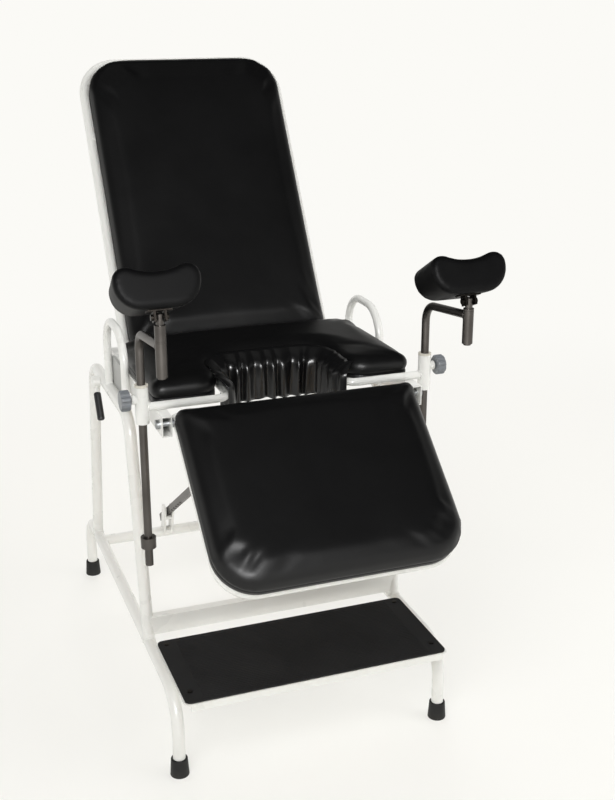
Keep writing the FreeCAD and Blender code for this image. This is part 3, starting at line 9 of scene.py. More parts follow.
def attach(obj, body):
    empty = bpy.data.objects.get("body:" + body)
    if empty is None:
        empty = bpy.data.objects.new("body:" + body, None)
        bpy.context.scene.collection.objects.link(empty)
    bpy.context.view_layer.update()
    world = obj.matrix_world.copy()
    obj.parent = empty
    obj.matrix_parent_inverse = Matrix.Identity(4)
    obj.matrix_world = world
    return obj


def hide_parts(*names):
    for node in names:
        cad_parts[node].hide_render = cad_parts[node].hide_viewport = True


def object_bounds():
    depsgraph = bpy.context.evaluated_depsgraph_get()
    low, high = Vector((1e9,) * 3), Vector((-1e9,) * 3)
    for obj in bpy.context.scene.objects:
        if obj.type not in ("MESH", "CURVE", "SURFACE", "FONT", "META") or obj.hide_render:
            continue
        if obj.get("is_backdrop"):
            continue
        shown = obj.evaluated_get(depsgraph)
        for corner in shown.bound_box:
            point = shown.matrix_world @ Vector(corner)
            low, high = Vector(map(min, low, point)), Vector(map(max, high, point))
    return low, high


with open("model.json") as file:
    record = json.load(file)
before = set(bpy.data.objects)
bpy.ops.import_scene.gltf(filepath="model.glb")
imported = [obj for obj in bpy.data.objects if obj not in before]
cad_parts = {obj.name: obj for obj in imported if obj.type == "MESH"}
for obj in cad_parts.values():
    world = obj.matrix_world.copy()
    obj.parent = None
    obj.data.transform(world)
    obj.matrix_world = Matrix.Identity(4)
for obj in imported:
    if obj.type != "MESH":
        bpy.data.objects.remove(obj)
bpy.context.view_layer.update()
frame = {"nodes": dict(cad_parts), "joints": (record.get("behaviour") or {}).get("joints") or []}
nodes = frame["nodes"]
hinge_at = {joint["name"]: Vector(joint["pos_m"]) for joint in frame["joints"] if "pos_m" in joint}
SIDES = (("left", -1), ("right", 1))

# Welded frame: base rails, splayed side frames and cross members of round and box steel tube.
# The tubes are bent, MIG welded and ground a little, then sprayed white and stoved in one piece.
TUBE_RADIUS = 0.0125
FRAME_HALF = 0.280
BASE_Z = 0.169
TOP_RAIL_Z = 0.640
LEG_HINGE_FORWARD = 0.111
POSTS_Y = hinge_at["leg_rest_lift"].y + LEG_HINGE_FORWARD
POST_FEET = ((0.008, 0.091), (0.561, -0.091))
REAR_TUBE_Y = 0.515
HANDLE_RADIUS = 0.0085
HANDLE_Y = (0.115, 0.290)
SEAM_STEPS = 48
BEAD_RADIUS = 0.0021
BEAD_RIPPLE = 0.0042
BEAD_DEPTH = 0.22
BEAD_STEP = 0.0014


def linear(code):
    """An sRGB hex colour as the linear values that a shader takes."""
    parts = [int(code[k:k + 2], 16) / 255 for k in (1, 3, 5)]
    return (*[p / 12.92 if p <= 0.04045 else ((p + 0.055) / 1.055) ** 2.4 for p in parts], 1.0)


def add(tree, kind, inputs=None, **settings):
    """One node of a tree: its settings, and its inputs as plain values or as sockets to link."""
    made = tree.nodes.new(kind)
    for name, value in settings.items():
        setattr(made, name, value)
    for name, value in (inputs or {}).items():
        if isinstance(value, bpy.types.NodeSocket):
            tree.links.new(value, made.inputs[name])
        else:
            made.inputs[name].default_value = value
    return made


def finish(name, **sockets):
    """A material on one Principled shader, with its even values on the shader's own sockets."""
    material = bpy.data.materials.new(name)
    material.use_nodes = True
    tree = material.node_tree
    shader = tree.nodes["Principled BSDF"]
    for socket, value in sockets.items():
        shader.inputs[socket.replace("_", " ")].default_value = value
    return material, tree, shader, add(tree, "ShaderNodeTexCoord").outputs["Object"]


def vary(tree, shader, pattern, colours, roughness):
    """Lets a pattern sway a finish between two colours and two roughnesses."""
    first, second = (linear(code) for code in colours)
    tint = add(tree, "ShaderNodeMix", {"Factor": pattern, "A": first, "B": second}, data_type="RGBA")
    tree.links.new(tint.outputs["Result"], shader.inputs["Base Color"])
    dull = add(tree, "ShaderNodeMapRange", {"Value": pattern, "To Min": roughness[0], "To Max": roughness[1]})
    tree.links.new(dull.outputs[0], shader.inputs["Roughness"])


def relief(tree, shader, pattern, strength, depth):
    """Raises a pattern on a finish, over any relief that it has."""
    bump = add(tree, "ShaderNodeBump", {"Height": pattern, "Strength": strength, "Distance": depth})
    normal = shader.inputs["Normal"]
    if normal.is_linked:
        tree.links.new(normal.links[0].from_socket, bump.inputs["Normal"])
    tree.links.new(bump.outputs[0], normal)


def coat(material, *names):
    """Gives CAD nodes a finish."""
    for name in names:
        nodes[name].material_slots[0].material = material


def weld_seam(meeting, outward, run, pipe_radius, run_radius):
    """Closed line where a pipe that leaves a meeting point outward meets the run of another pipe."""
    outward, run = outward.normalized(), run.normalized()
    across = outward.cross(run).normalized()
    beside = across.cross(outward)
    flat_out = outward - run * outward.dot(run)
    seam = []
    for step in range(SEAM_STEPS):
        turn = math.tau * step / SEAM_STEPS
        reach = pipe_radius * (math.cos(turn) * across + math.sin(turn) * beside)
        flat = reach - run * reach.dot(run)
        half = flat.dot(flat_out)
        inside = half * half - flat_out.length_squared * (flat.length_squared - run_radius ** 2)
        travel = (math.sqrt(max(inside, 0)) - half) / flat_out.length_squared
        seam.append(meeting + reach + outward * travel)
    return seam


def loops_mesh(name, loops):
    """A mesh of closed lines only, for a node tree to follow."""
    points = [point for loop in loops for point in loop]
    edges, first = [], 0
    for loop in loops:
        edges += [(first + k, first + (k + 1) % len(loop)) for k in range(len(loop))]
        first += len(loop)
    mesh = bpy.data.meshes.new(name)
    mesh.from_pydata(points, edges, [])
    return mesh


def settle(piece):
    """Turns a piece with its modifiers into a plain, smooth-shaded mesh."""
    depsgraph = bpy.context.evaluated_depsgraph_get()
    piece.data = bpy.data.meshes.new_from_object(piece.evaluated_get(depsgraph), depsgraph=depsgraph)
    piece.modifiers.clear()
    piece.data.shade_smooth()
    return piece


def show(name, data):
    """A new piece in the scene."""
    piece = bpy.data.objects.new(name, data)
    bpy.context.scene.collection.objects.link(piece)
    return piece


def grown(name, mesh, tree, **values):
    """A piece that a geometry node tree makes on a mesh, as a plain mesh."""
    piece = show(name, mesh)
    modifier = piece.modifiers.new("grown", "NODES")
    modifier.node_group = tree
    for item in tree.interface.items_tree:
        key = item.name.replace(" ", "_").lower()
        if item.in_out == "INPUT" and key in values:
            modifier[item.identifier] = values[key]
    return settle(piece)


def new_tree(name, **sockets):
    """An empty geometry node tree from lines to a mesh, with named sizes and a finish."""
    tree = bpy.data.node_groups.new(name, "GeometryNodeTree")
    tree.interface.new_socket("Lines", in_out="INPUT", socket_type="NodeSocketGeometry")
    for socket, kind in sockets.items():
        label = socket.replace("_", " ").capitalize()
        tree.interface.new_socket(label, in_out="INPUT", socket_type=f"NodeSocket{kind}")
    tree.interface.new_socket("Finish", in_out="INPUT", socket_type="NodeSocketMaterial")
    tree.interface.new_socket("Made", in_out="OUTPUT", socket_type="NodeSocketGeometry")
    return tree, add(tree, "NodeGroupInput").outputs


def close_tree(tree, given, geometry):
    """Ends a tree with real, finished faces."""
    real = add(tree, "GeometryNodeRealizeInstances", {"Geometry": geometry})
    done = add(tree, "GeometryNodeSetMaterial", {"Geometry": real.outputs[0], "Material": given["Finish"]})
    add(tree, "NodeGroupOutput", {"Made": done.outputs[0]})


# Stoved enamel: a thick even white gloss with faint orange peel, a little duller where the coat is thin.
# Orange peel is about 2 mm across, drawn at 3 mm so that it shows.
enamel, tree, shader, place = finish("stoved_enamel_white", IOR=1.5, Coat_Weight=0.35, Coat_Roughness=0.08)
drift = add(tree, "ShaderNodeTexNoise", {"Vector": place, "Scale": 1 / 0.09, "Detail": 3.0})
vary(tree, shader, drift.outputs["Fac"], ("#E9E9E5", "#F2F2EF"), (0.22, 0.36))
peel = add(tree, "ShaderNodeTexNoise", {"Vector": place, "Scale": 1 / 0.003, "Detail": 1.0})
relief(tree, shader, peel.outputs["Fac"], 0.06, 0.0005)
coat(
    enamel, "base_rail_left", "base_rail_right", "side_frame_left", "side_frame_right", "front_cross_bar",
    "rear_cross_tube", "seat_rail_left", "seat_rail_right", "seat_cross_tubes", "seat_front_rail",
    "crutch_socket_left", "crutch_socket_right", "grab_handle_left", "grab_handle_right", "backrest_frame",
    "backrest_cross_tubes", "leg_rest_frame", "leg_rest_cross_tube", "rack_lugs", "clamp_spacer",
    "clamp_lever", "rack_catch", "step_plate",
)

# Weld beads: a rippled bead round each pipe end, laid by hand before the frame is sprayed.
# Each follows the line where the two pipes meet.
bead_tree, given = new_tree("weld_bead", bead_radius="Float", ripple_pitch="Float", ripple_depth="Float")
line = add(bead_tree, "GeometryNodeMeshToCurve", {"Mesh": given["Lines"]})
fine = add(
    bead_tree, "GeometryNodeResampleCurve", {"Curve": line.outputs[0], "Length": BEAD_STEP}, mode="LENGTH"
)
along = add(bead_tree, "GeometryNodeSplineParameter").outputs["Length"]
turns = add(bead_tree, "ShaderNodeMath", {0: along, 1: given["Ripple pitch"]}, operation="DIVIDE")
angle = add(bead_tree, "ShaderNodeMath", {0: turns.outputs[0], 1: math.tau}, operation="MULTIPLY")
wave = add(bead_tree, "ShaderNodeMath", {0: angle.outputs[0]}, operation="SINE")
ripple = {0: wave.outputs[0], 1: given["Ripple depth"], 2: 1.0}
swell = add(bead_tree, "ShaderNodeMath", ripple, operation="MULTIPLY_ADD")
thick = add(bead_tree, "GeometryNodeSetCurveRadius", {"Curve": fine.outputs[0], "Radius": swell.outputs[0]})
ring = add(bead_tree, "GeometryNodeCurvePrimitiveCircle", {"Resolution": 8, "Radius": given["Bead radius"]})
drawn = {"Curve": thick.outputs[0], "Profile Curve": ring.outputs[0]}
bead = add(bead_tree, "GeometryNodeCurveToMesh", drawn)
close_tree(bead_tree, given, bead.outputs[0])


def weld(name, body, seams, material):
    """One piece with the weld beads of a body."""
    piece = grown(
        name,
        loops_mesh(name, seams),
        bead_tree,
        bead_radius=BEAD_RADIUS,
        ripple_pitch=BEAD_RIPPLE,
        ripple_depth=BEAD_DEPTH,
        finish=material,
    )
    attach(piece, body)


frame_seams = []
for side, sign in SIDES:
    for foot, lean in POST_FEET:
        foot_at = Vector((sign * FRAME_HALF, POSTS_Y + foot, BASE_Z))
        post = Vector((0, lean, TOP_RAIL_Z - BASE_Z))
        frame_seams.append(weld_seam(foot_at, post, Vector((0, 1, 0)), TUBE_RADIUS, TUBE_RADIUS))
    rear_at = Vector((sign * FRAME_HALF, POSTS_Y + REAR_TUBE_Y, BASE_Z))
    frame_seams.append(weld_seam(rear_at, Vector((-sign, 0, 0)), Vector((0, 1, 0)), TUBE_RADIUS, TUBE_RADIUS))
    for handle in HANDLE_Y:
        handle_at = Vector((sign * FRAME_HALF, POSTS_Y + handle, TOP_RAIL_Z))
        frame_seams.append(
            weld_seam(handle_at, Vector((0, 0, 1)), Vector((0, 1, 0)), HANDLE_RADIUS, TUBE_RADIUS)
        )

# Rubber feet: tapered ferrules of black moulded rubber pushed over the tube ends.
# They are matt, a little dusty and scuffed pale near the floor.
rubber, tree, shader, place = finish("moulded_rubber_black", IOR=1.52, Specular_IOR_Level=0.3)
dust = add(tree, "ShaderNodeTexNoise", {"Vector": place, "Scale": 1 / 0.012, "Detail": 4.0})
height = add(tree, "ShaderNodeSeparateXYZ", {"Vector": place})
low = add(
    tree,
    "ShaderNodeMapRange",
    {"Value": height.outputs["Z"], "From Max": 0.02, "To Min": 0.55, "To Max": 0.1},
)
share = add(tree, "ShaderNodeMath", {0: dust.outputs["Fac"], 1: low.outputs[0]}, operation="MULTIPLY")
vary(tree, shader, share.outputs[0], ("#141414", "#4A4844"), (0.55, 0.8))
grain = add(tree, "ShaderNodeTexNoise", {"Vector": place, "Scale": 1 / 0.0015, "Detail": 2.0})
relief(tree, shader, grain.outputs["Fac"], 0.12, 0.0004)
coat(rubber, *[f"foot_{end}_{side}" for end in ("front", "rear") for side, sign in SIDES])

# Step: the plate is enamelled with the frame, and a finely ribbed mat of charcoal rubber lies on it.
# The mat is worn a little paler where shoes tread.
mat, tree, shader, place = finish("ribbed_mat_rubber_charcoal", IOR=1.52, Specular_IOR_Level=0.25)
tread = add(tree, "ShaderNodeTexNoise", {"Vector": place, "Scale": 1 / 0.07, "Detail": 5.0})
vary(tree, shader, tread.outputs["Fac"], ("#131314", "#262627"), (0.6, 0.85))
grit = add(tree, "ShaderNodeTexNoise", {"Vector": place, "Scale": 1 / 0.002, "Detail": 2.0})
relief(tree, shader, grit.outputs["Fac"], 0.2, 0.0005)
coat(mat, "step_mat")

# Step screws, cup brackets and cup bolts: mild steel, blackened in hot oxide and oiled.
# The oxide is patchy and slightly brown.
blackened, tree, shader, place = finish("black_oxide_steel", Metallic=1.0)
patches = add(tree, "ShaderNodeTexNoise", {"Vector": place, "Scale": 1 / 0.005, "Detail": 4.0})
vary(tree, shader, patches.outputs["Fac"], ("#23211F", "#3B3733"), (0.35, 0.55))
coat(blackened, "step_screws", "cup_bolt_left", "cup_bolt_right", "cup_bracket_left", "cup_bracket_right")

# Hinge bolts, clamp bolt and pivot pin: mild steel with bright zinc plating.
# The plating is slightly cloudy.
zinc, tree, shader, place = finish("zinc_plated_steel", Metallic=1.0)
cloud = add(tree, "ShaderNodeTexNoise", {"Vector": place, "Scale": 1 / 0.006, "Detail": 4.0})
vary(tree, shader, cloud.outputs["Fac"], ("#8E9194", "#BDBFC0"), (0.25, 0.5))
coat(zinc, "hinge_bolts", "clamp_bolt", "rack_pivot_pin")

# Seat side plates and the clamp quadrant: flame-cut steel plate, sprayed satin grey.
# The spray is slightly dry, so it is finely pebbled.
satin, tree, shader, place = finish("satin_paint_grey", IOR=1.5)
spray = add(tree, "ShaderNodeTexNoise", {"Vector": place, "Scale": 1 / 0.05, "Detail": 4.0})
vary(tree, shader, spray.outputs["Fac"], ("#A9AAA9", "#BBBBB8"), (0.4, 0.55))
pebble = add(tree, "ShaderNodeTexNoise", {"Vector": place, "Scale": 1 / 0.002, "Detail": 1.0})
relief(tree, shader, pebble.outputs["Fac"], 0.1, 0.0004)
coat(satin, "seat_side_plate_left", "seat_side_plate_right", "clamp_quadrant")

# Boards of the seat, backrest and leg rest: birch plywood, unvarnished, seen between the turned-over covers.
# Long pale grain along the board, with darker growth lines about 12 mm apart.
ply, tree, shader, place = finish("birch_plywood_raw", IOR=1.45, Specular_IOR_Level=0.3)
stretch = add(tree, "ShaderNodeMapping", {"Vector": place, "Scale": (1.0, 0.08, 0.08)})
growth = add(
    tree,
    "ShaderNodeTexNoise",
    {"Vector": stretch.outputs[0], "Scale": 1 / 0.012, "Detail": 6.0, "Distortion": 1.2},
)
vary(tree, shader, growth.outputs["Fac"], ("#B08A5C", "#D9BC8E"), (0.6, 0.8))
relief(tree, shader, growth.outputs["Fac"], 0.15, 0.0004)
coat(ply, "seat_board", "backrest_board", "leg_rest_board")

# Seat cushion: foam on its board under black leatherette, drawn tight over the edges and stapled underneath.
# The notch at the front is covered with the same piece.
PAD_VOXEL = 0.0055
PAD_START = 0.0035
PAD_CAP = 0.0060
PAD_PRESSURE = 3.4
PAD_HELD = 0.013
PAD_FRAMES = 20
PAD_QUALITY = 4
PAD_MASS = 0.3
PAD_SMOOTH = 6
PAD_TUCK = 0.005
PAD_BELLY = 0.015
PAD_ROUND = 0.032
SIDE_STEPS = 9
LEAST_CORNER = 0.006
COVER = 0.001
TURNOVER = 0.034
TURN_OUTER = ((0.0035, 0.0150), (0.0030, 0.0050), (-0.0010, 0.0042))
TURN_INNER = ((-0.0010, 0.0053), (0.0015, 0.0150))
EDGE_OUTER = 0.0042
EDGE_INNER = 0.0053
EDGE_RISE = 0.002
TURN_BEND = 0.0064
TURN_FLAT = 0.011
TURN_SAG = 0.0003
TURN_PRESSED = 0.8
ARC_STEPS = 14
STAPLE_PITCH = 0.032
STAPLE_INSET = 0.021
STAPLE_SPAN = 0.011
SEAT_HALF = 0.268
SEAT_FRONT = -0.075
SEAT_REAR = 0.256
NOTCH_HALF = 0.130
NOTCH_END = 0.080
SEAT_BOARD = 0.012
SEAT_BOARD_TOP = 0.725
SEAT_THICKNESS = 0.043
SEAT_FRONT_CORNER = 0.024
SEAT_REAR_CORNER = 0.045
MOUTH_CORNER = 0.048
NOTCH_CORNER = 0.065


def outline(corners):
    """Points round a shape of square corners, each (x, y, radius), bulging or hollow."""
    points = []
    for number, (x, y, radius) in enumerate(corners):
        corner = Vector((x, y))
        before = Vector(corners[number - 1][:2])
        after = Vector(corners[(number + 1) % len(corners)][:2])
        arriving = (corner - before).normalized()
        leaving = (after - corner).normalized()
        middle = corner + radius * (leaving - arriving)
        for step in range(ARC_STEPS + 1):
            turn = math.pi / 2 * step / ARC_STEPS
            points.append(middle + radius * (math.sin(turn) * arriving - math.cos(turn) * leaving))
    return points


def less(radius, inset):
    """An outer corner's radius where the shape is drawn in."""
    return max(radius - inset, LEAST_CORNER)


def seat_shape(inset):
    """Seat with its notch, drawn in all round."""
    half, mouth = SEAT_HALF - inset, NOTCH_HALF + inset
    front, rear, end = SEAT_FRONT + inset, SEAT_REAR - inset, NOTCH_END + inset
    return outline((
        (-half, front, less(SEAT_FRONT_CORNER, inset)),
        (-mouth, front, less(MOUTH_CORNER, inset)),
        (-mouth, end, NOTCH_CORNER + inset),
        (mouth, end, NOTCH_CORNER + inset),
        (mouth, front, less(MOUTH_CORNER, inset)),
        (half, front, less(SEAT_FRONT_CORNER, inset)),
        (half, rear, less(SEAT_REAR_CORNER, inset)),
        (-half, rear, less(SEAT_REAR_CORNER, inset)),
    ))


def loft(build, rings, closed=False):
    """Faces between rings of points; the ends are filled unless the loft closes on itself."""
    count = len(rings[0])
    made = [[build.verts.new(point) for point in ring] for ring in rings]
    pairs = list(zip(made, made[1:] + made[:1])) if closed else list(zip(made, made[1:]))
    for low_ring, high_ring in pairs:
        for k in range(count):
            n = (k + 1) % count
            build.faces.new((low_ring[k], low_ring[n], high_ring[n], high_ring[k]))
    if not closed:
        build.faces.new(made[0][::-1])
        build.faces.new(made[-1])


def lifted(points, height):
    """Flat points at a height."""
    return [Vector((point.x, point.y, height)) for point in points]


def mesh_of(name, build):
    """A bmesh as a mesh with its faces turned outwards."""
    bmesh.ops.recalc_face_normals(build, faces=build.faces)
    mesh = bpy.data.meshes.new(name)
    build.to_mesh(mesh)
    build.free()
    mesh.shade_smooth()
    return mesh


def pad_levels(thickness, drawn):
    """Heights and insets up a pad's side: tucked in at its board, upright at its belly, round to the top."""
    levels = [(0.0, PAD_TUCK)]
    for step in range(SIDE_STEPS + 1):
        turn = math.pi / 2 * step / SIDE_STEPS
        rise = (thickness - drawn - PAD_BELLY) * math.sin(turn)
        levels.append((PAD_BELLY + rise, PAD_ROUND * (1 - math.cos(turn))))
    return levels


def stuff(piece):
    """Blows the cover up like foam under leatherette, with its lower edge held by the board."""
    held = piece.vertex_groups.new(name="board")
    held.add([v.index for v in piece.data.vertices if v.co.z < PAD_HELD], 1.0, "REPLACE")
    start = [v.co.copy() for v in piece.data.vertices]
    cloth = piece.modifiers.new("cover", "CLOTH")
    cloth.settings.quality = PAD_QUALITY
    cloth.settings.mass = PAD_MASS
    cloth.settings.use_pressure = True
    cloth.settings.uniform_pressure_force = PAD_PRESSURE
    cloth.settings.effector_weights.gravity = 0.0
    cloth.settings.vertex_group_mass = "board"
    cloth.collision_settings.use_collision = False
    cloth.point_cache.frame_start = 1
    cloth.point_cache.frame_end = PAD_FRAMES
    for number in range(1, PAD_FRAMES + 1):
        bpy.context.scene.frame_set(number)
    settle(piece)
    bpy.context.scene.frame_set(1)
    for vertex, rest in zip(piece.data.vertices, start):
        moved = vertex.co - rest
        if moved.length > PAD_CAP:
            vertex.co = rest + moved * (PAD_CAP / moved.length)


def evened(piece, voxel):
    """Gives a piece even, square faces of one size."""
    remesh = piece.modifiers.new("even", "REMESH")
    remesh.mode = "VOXEL"
    remesh.voxel_size = voxel
    settle(piece)


def softened(piece, passes):
    """Smooths a piece's even faces and halves them."""
    soft = piece.modifiers.new("soft", "SMOOTH")
    soft.factor = 0.5
    soft.iterations = passes
    finer = piece.modifiers.new("finer", "SUBSURF")
    finer.levels = finer.render_levels = 1
    settle(piece)


def cushion(name, shape, thickness, board):
    """A stuffed pad drawn on its board's upper face, with its cover turned over the board's edge."""
    build = bmesh.new()
    drawn = PAD_START
    loft(build, [lifted(shape(inset), height) for height, inset in pad_levels(thickness, drawn)])
    piece = show(name, mesh_of(name, build))
    evened(piece, PAD_VOXEL)
    stuff(piece)
    softened(piece, PAD_SMOOTH)
    edge = EDGE_RISE - board
    under = -board - COVER
    upper = under + COVER * TURN_PRESSED
    path = (
        *TURN_OUTER,
        (edge, EDGE_OUTER),
        (under, TURN_BEND),
        (under - TURN_SAG, TURN_FLAT),
        (under - TURN_SAG, TURNOVER),
        (upper, TURNOVER),
        (upper, TURN_FLAT),
        (edge, EDGE_INNER),
        *TURN_INNER,
    )
    build = bmesh.new()
    build.from_mesh(piece.data)
    loft(build, [lifted(shape(inset), height) for height, inset in path], closed=True)
    piece.data = mesh_of(name, build)
    return piece


# Leatherette: black PVC on knitted cloth, embossed with a fine leather grain and wiped to a soft sheen.
# The grain is about 1 mm across, drawn at 2.2 mm so that it shows; the foam under it is slightly uneven.
leatherette, tree, shader, place = finish("leatherette_black", IOR=1.5, Specular_IOR_Level=0.34)
tone = add(tree, "ShaderNodeTexNoise", {"Vector": place, "Scale": 1 / 0.12, "Detail": 3.0})
vary(tree, shader, tone.outputs["Fac"], ("#050506", "#0A0A0B"), (0.38, 0.48))
pebbles = add(tree, "ShaderNodeTexVoronoi", {"Vector": place, "Scale": 1 / 0.0022}, feature="SMOOTH_F1")
relief(tree, shader, pebbles.outputs["Distance"], 0.10, 0.0006)
uneven = add(tree, "ShaderNodeTexNoise", {"Vector": place, "Scale": 1 / 0.045, "Detail": 2.0})
relief(tree, shader, uneven.outputs["Fac"], 0.25, 0.002)

# Staples: flat steel wire shot through the turned-over cover into the board, one every 32 mm.
# Each crown lies along the edge and is slightly bowed.
staple_tree, given = new_tree("staples", pitch="Float", span="Float", face="Vector")
line = add(staple_tree, "GeometryNodeMeshToCurve", {"Mesh": given["Lines"]})
spacing = {"Curve": line.outputs[0], "Length": given["Pitch"]}
spaced = add(staple_tree, "GeometryNodeResampleCurve", spacing, mode="LENGTH")
tangent = add(staple_tree, "GeometryNodeInputTangent")
facing = add(
    staple_tree,
    "FunctionNodeAxesToRotation",
    {"Primary Axis": given["Face"], "Secondary Axis": tangent.outputs[0]},
    primary_axis="Z",
    secondary_axis="X",
)
bow = add(
    staple_tree,
    "GeometryNodeCurveQuadraticBezier",
    {"Resolution": 6, "Start": (-0.5, 0.0, -0.06), "Middle": (0.0, 0.0, 0.10), "End": (0.5, 0.0, -0.06)},
)
wire = add(staple_tree, "GeometryNodeCurvePrimitiveCircle", {"Resolution": 6, "Radius": 0.055})
crown = add(
    staple_tree,
    "GeometryNodeCurveToMesh",
    {"Curve": bow.outputs[0], "Profile Curve": wire.outputs[0], "Fill Caps": True},
)
stuck = add(
    staple_tree,
    "GeometryNodeInstanceOnPoints",
    {
        "Points": spaced.outputs[0],
        "Instance": crown.outputs[0],
        "Rotation": facing.outputs[0],
        "Scale": given["Span"],
    },
)
close_tree(staple_tree, given, stuck.outputs[0])


def upholster(name, body, replaced, shape, thickness, board, frame_of):
    """One finished cushion with its staples, put in its place and on its body."""
    piece = cushion(name, shape, thickness, board)
    piece.data.transform(frame_of)
    piece.data.materials.append(leatherette)
    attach(piece, body)
    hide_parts(replaced)
    path = [frame_of @ point for point in lifted(shape(STAPLE_INSET), -board - 2 * COVER)]
    staples = grown(
        f"{name}_staples",
        loops_mesh(f"{name}_staples", [path]),
        staple_tree,
        pitch=STAPLE_PITCH,
        span=STAPLE_SPAN,
        face=-(frame_of.to_3x3() @ Vector((0, 0, 1))),
        finish=zinc,
    )
    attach(staples, body)


seat_place = Matrix.Translation((0, POSTS_Y, SEAT_BOARD_TOP))
upholster("seat_pad", "chassis", "seat_cushion", seat_shape, SEAT_THICKNESS, SEAT_BOARD, seat_place)

# Notch lining: a strip of thin leatherette, gathered on a drawstring seam under the cushion's edge.
# It hangs over the front rail in shiny upright folds of uneven width and wraps round the rail's two bends.
LINING_HALF = 0.1106
LINING_END = 0.0606
LINING_BEND = 0.0456
LINING_FRONT = -0.058
LINING_WRAP = 0.0364
LINING_WRAP_TURN = math.radians(48)
LINING_HIGH = 0.758
LINING_LOW = 0.657
LINING_FRONT_LOW = 0.683
LINING_STEPS = 720
LINING_ROWS = 26
LINING_DEPTH = 0.0135
LINING_PITCH = 0.027
LINING_OVER = 0.028
LINING_FRONT_OVER = 0.034
LINING_SKIN = 0.0008
LINING_CLEAR = 0.0012
LINING_OPEN = 0.45
LINING_TUCK = 0.32
GATHER_DEPTH = 0.22
FOLD_ROUND = 0.75
FOLD_WANDER = 0.011
WANDER_RATE = 24
FOLD_SLANT = 0.018
SLANT_RATE = 11
FOLD_MEAN = 0.66
FOLD_SWAY = 0.5
SWAY_RATE = 30
SWAY_FALL = 0.4
WRAP_FLATTER = 0.5
HEM_SWAY = 0.004
HEM_RATE = 40
wrap_length = LINING_WRAP * LINING_WRAP_TURN
side_length = LINING_END - LINING_BEND - LINING_FRONT
corner_length = math.pi / 2 * LINING_BEND
lining_half_way = wrap_length + side_length + corner_length + LINING_HALF - LINING_BEND


def lining_line(distance):
    """Point and outward-facing direction on the lining's line, from the left front end round to the right."""
    if distance > lining_half_way:
        point, facing = lining_line(2 * lining_half_way - distance)
        return Vector((-point.x, point.y)), Vector((-facing.x, facing.y))
    if distance < wrap_length:
        turn = (wrap_length - distance) / LINING_WRAP
        facing = Vector((math.cos(turn), -math.sin(turn)))
        return Vector((-LINING_HALF - LINING_WRAP, LINING_FRONT)) + facing * LINING_WRAP, facing
    gone = distance - wrap_length
    if gone <= side_length:
        return Vector((-LINING_HALF, LINING_FRONT + gone)), Vector((1, 0))
    gone -= side_length
    if gone <= corner_length:
        turn = gone / LINING_BEND
        facing = Vector((math.cos(turn), -math.sin(turn)))
        return Vector((LINING_BEND - LINING_HALF, LINING_END - LINING_BEND)) - facing * LINING_BEND, facing
    return Vector((LINING_BEND - LINING_HALF + gone - corner_length, LINING_END)), Vector((0, -1))


def lining_reach(distance, fall):
    """How far a fold stands out at a distance along the lining and a share of the way down."""
    wander = FOLD_WANDER * noise.noise(Vector((distance * WANDER_RATE, 0.0, 7.0)))
    slant = FOLD_SLANT * fall * noise.noise(Vector((distance * SLANT_RATE, 0.0, 3.0)))
    fold = 0.5 - 0.5 * math.cos(math.tau * (distance + wander + slant) / LINING_PITCH)
    sway = FOLD_SWAY * noise.noise(Vector((distance * SWAY_RATE, SWAY_FALL * fall, 11.0)))
    opened = min(fall / LINING_OPEN, 1.0)
    opened = opened * opened * (3 - 2 * opened)
    end = min(distance, 2 * lining_half_way - distance)
    wrapped = max(1 - end / wrap_length, 0.0)
    depth = LINING_DEPTH * (FOLD_MEAN + sway) * (1 - WRAP_FLATTER * wrapped)
    over = LINING_OVER + (LINING_FRONT_OVER - LINING_OVER) * wrapped
    tucked = over * (1 - min(fall / LINING_TUCK, 1.0)) ** 2
    drape = GATHER_DEPTH + (1 - GATHER_DEPTH) * opened
    return LINING_CLEAR + depth * fold ** FOLD_ROUND * drape - tucked


build = bmesh.new()
grid = []
for step in range(LINING_STEPS + 1):
    distance = 2 * lining_half_way * step / LINING_STEPS
    point, facing = lining_line(distance)
    forward = (LINING_END - point.y) / (LINING_END - LINING_FRONT)
    lowest = LINING_LOW + (LINING_FRONT_LOW - LINING_LOW) * forward
    lowest += HEM_SWAY * noise.noise(Vector((distance * HEM_RATE, 5.0, 0.0)))
    column = []
    for row in range(LINING_ROWS + 1):
        fall = row / LINING_ROWS
        here = point + facing * lining_reach(distance, fall)
        level = LINING_HIGH + (lowest - LINING_HIGH) * fall
        column.append(build.verts.new((here.x, POSTS_Y + here.y, level)))
    grid.append(column)
for left, right in zip(grid, grid[1:]):
    for row in range(LINING_ROWS):
        build.faces.new((left[row], left[row + 1], right[row + 1], right[row]))
flat_area = sum(face.calc_area() for face in build.faces)
lining = show("notch_lining_cloth", mesh_of("notch_lining_cloth", build))
skin = lining.modifiers.new("skin", "SOLIDIFY")
skin.thickness = LINING_SKIN
skin.offset = -1.0
settle(lining)

# The lining's leatherette is thinner and glossier than the cushions', without embossed grain.
# Small creases about 8 mm apart cross its folds.
gloss, tree, shader, place = finish("leatherette_thin_gloss", IOR=1.5, Specular_IOR_Level=0.55)
tone = add(tree, "ShaderNodeTexNoise", {"Vector": place, "Scale": 1 / 0.05, "Detail": 3.0})
vary(tree, shader, tone.outputs["Fac"], ("#09090A", "#111112"), (0.24, 0.36))
crease = add(tree, "ShaderNodeTexNoise", {"Vector": place, "Scale": 1 / 0.008, "Detail": 2.0})
relief(tree, shader, crease.outputs["Fac"], 0.2, 0.001)
lining.data.materials.append(gloss)
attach(lining, "chassis")
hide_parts("notch_lining")

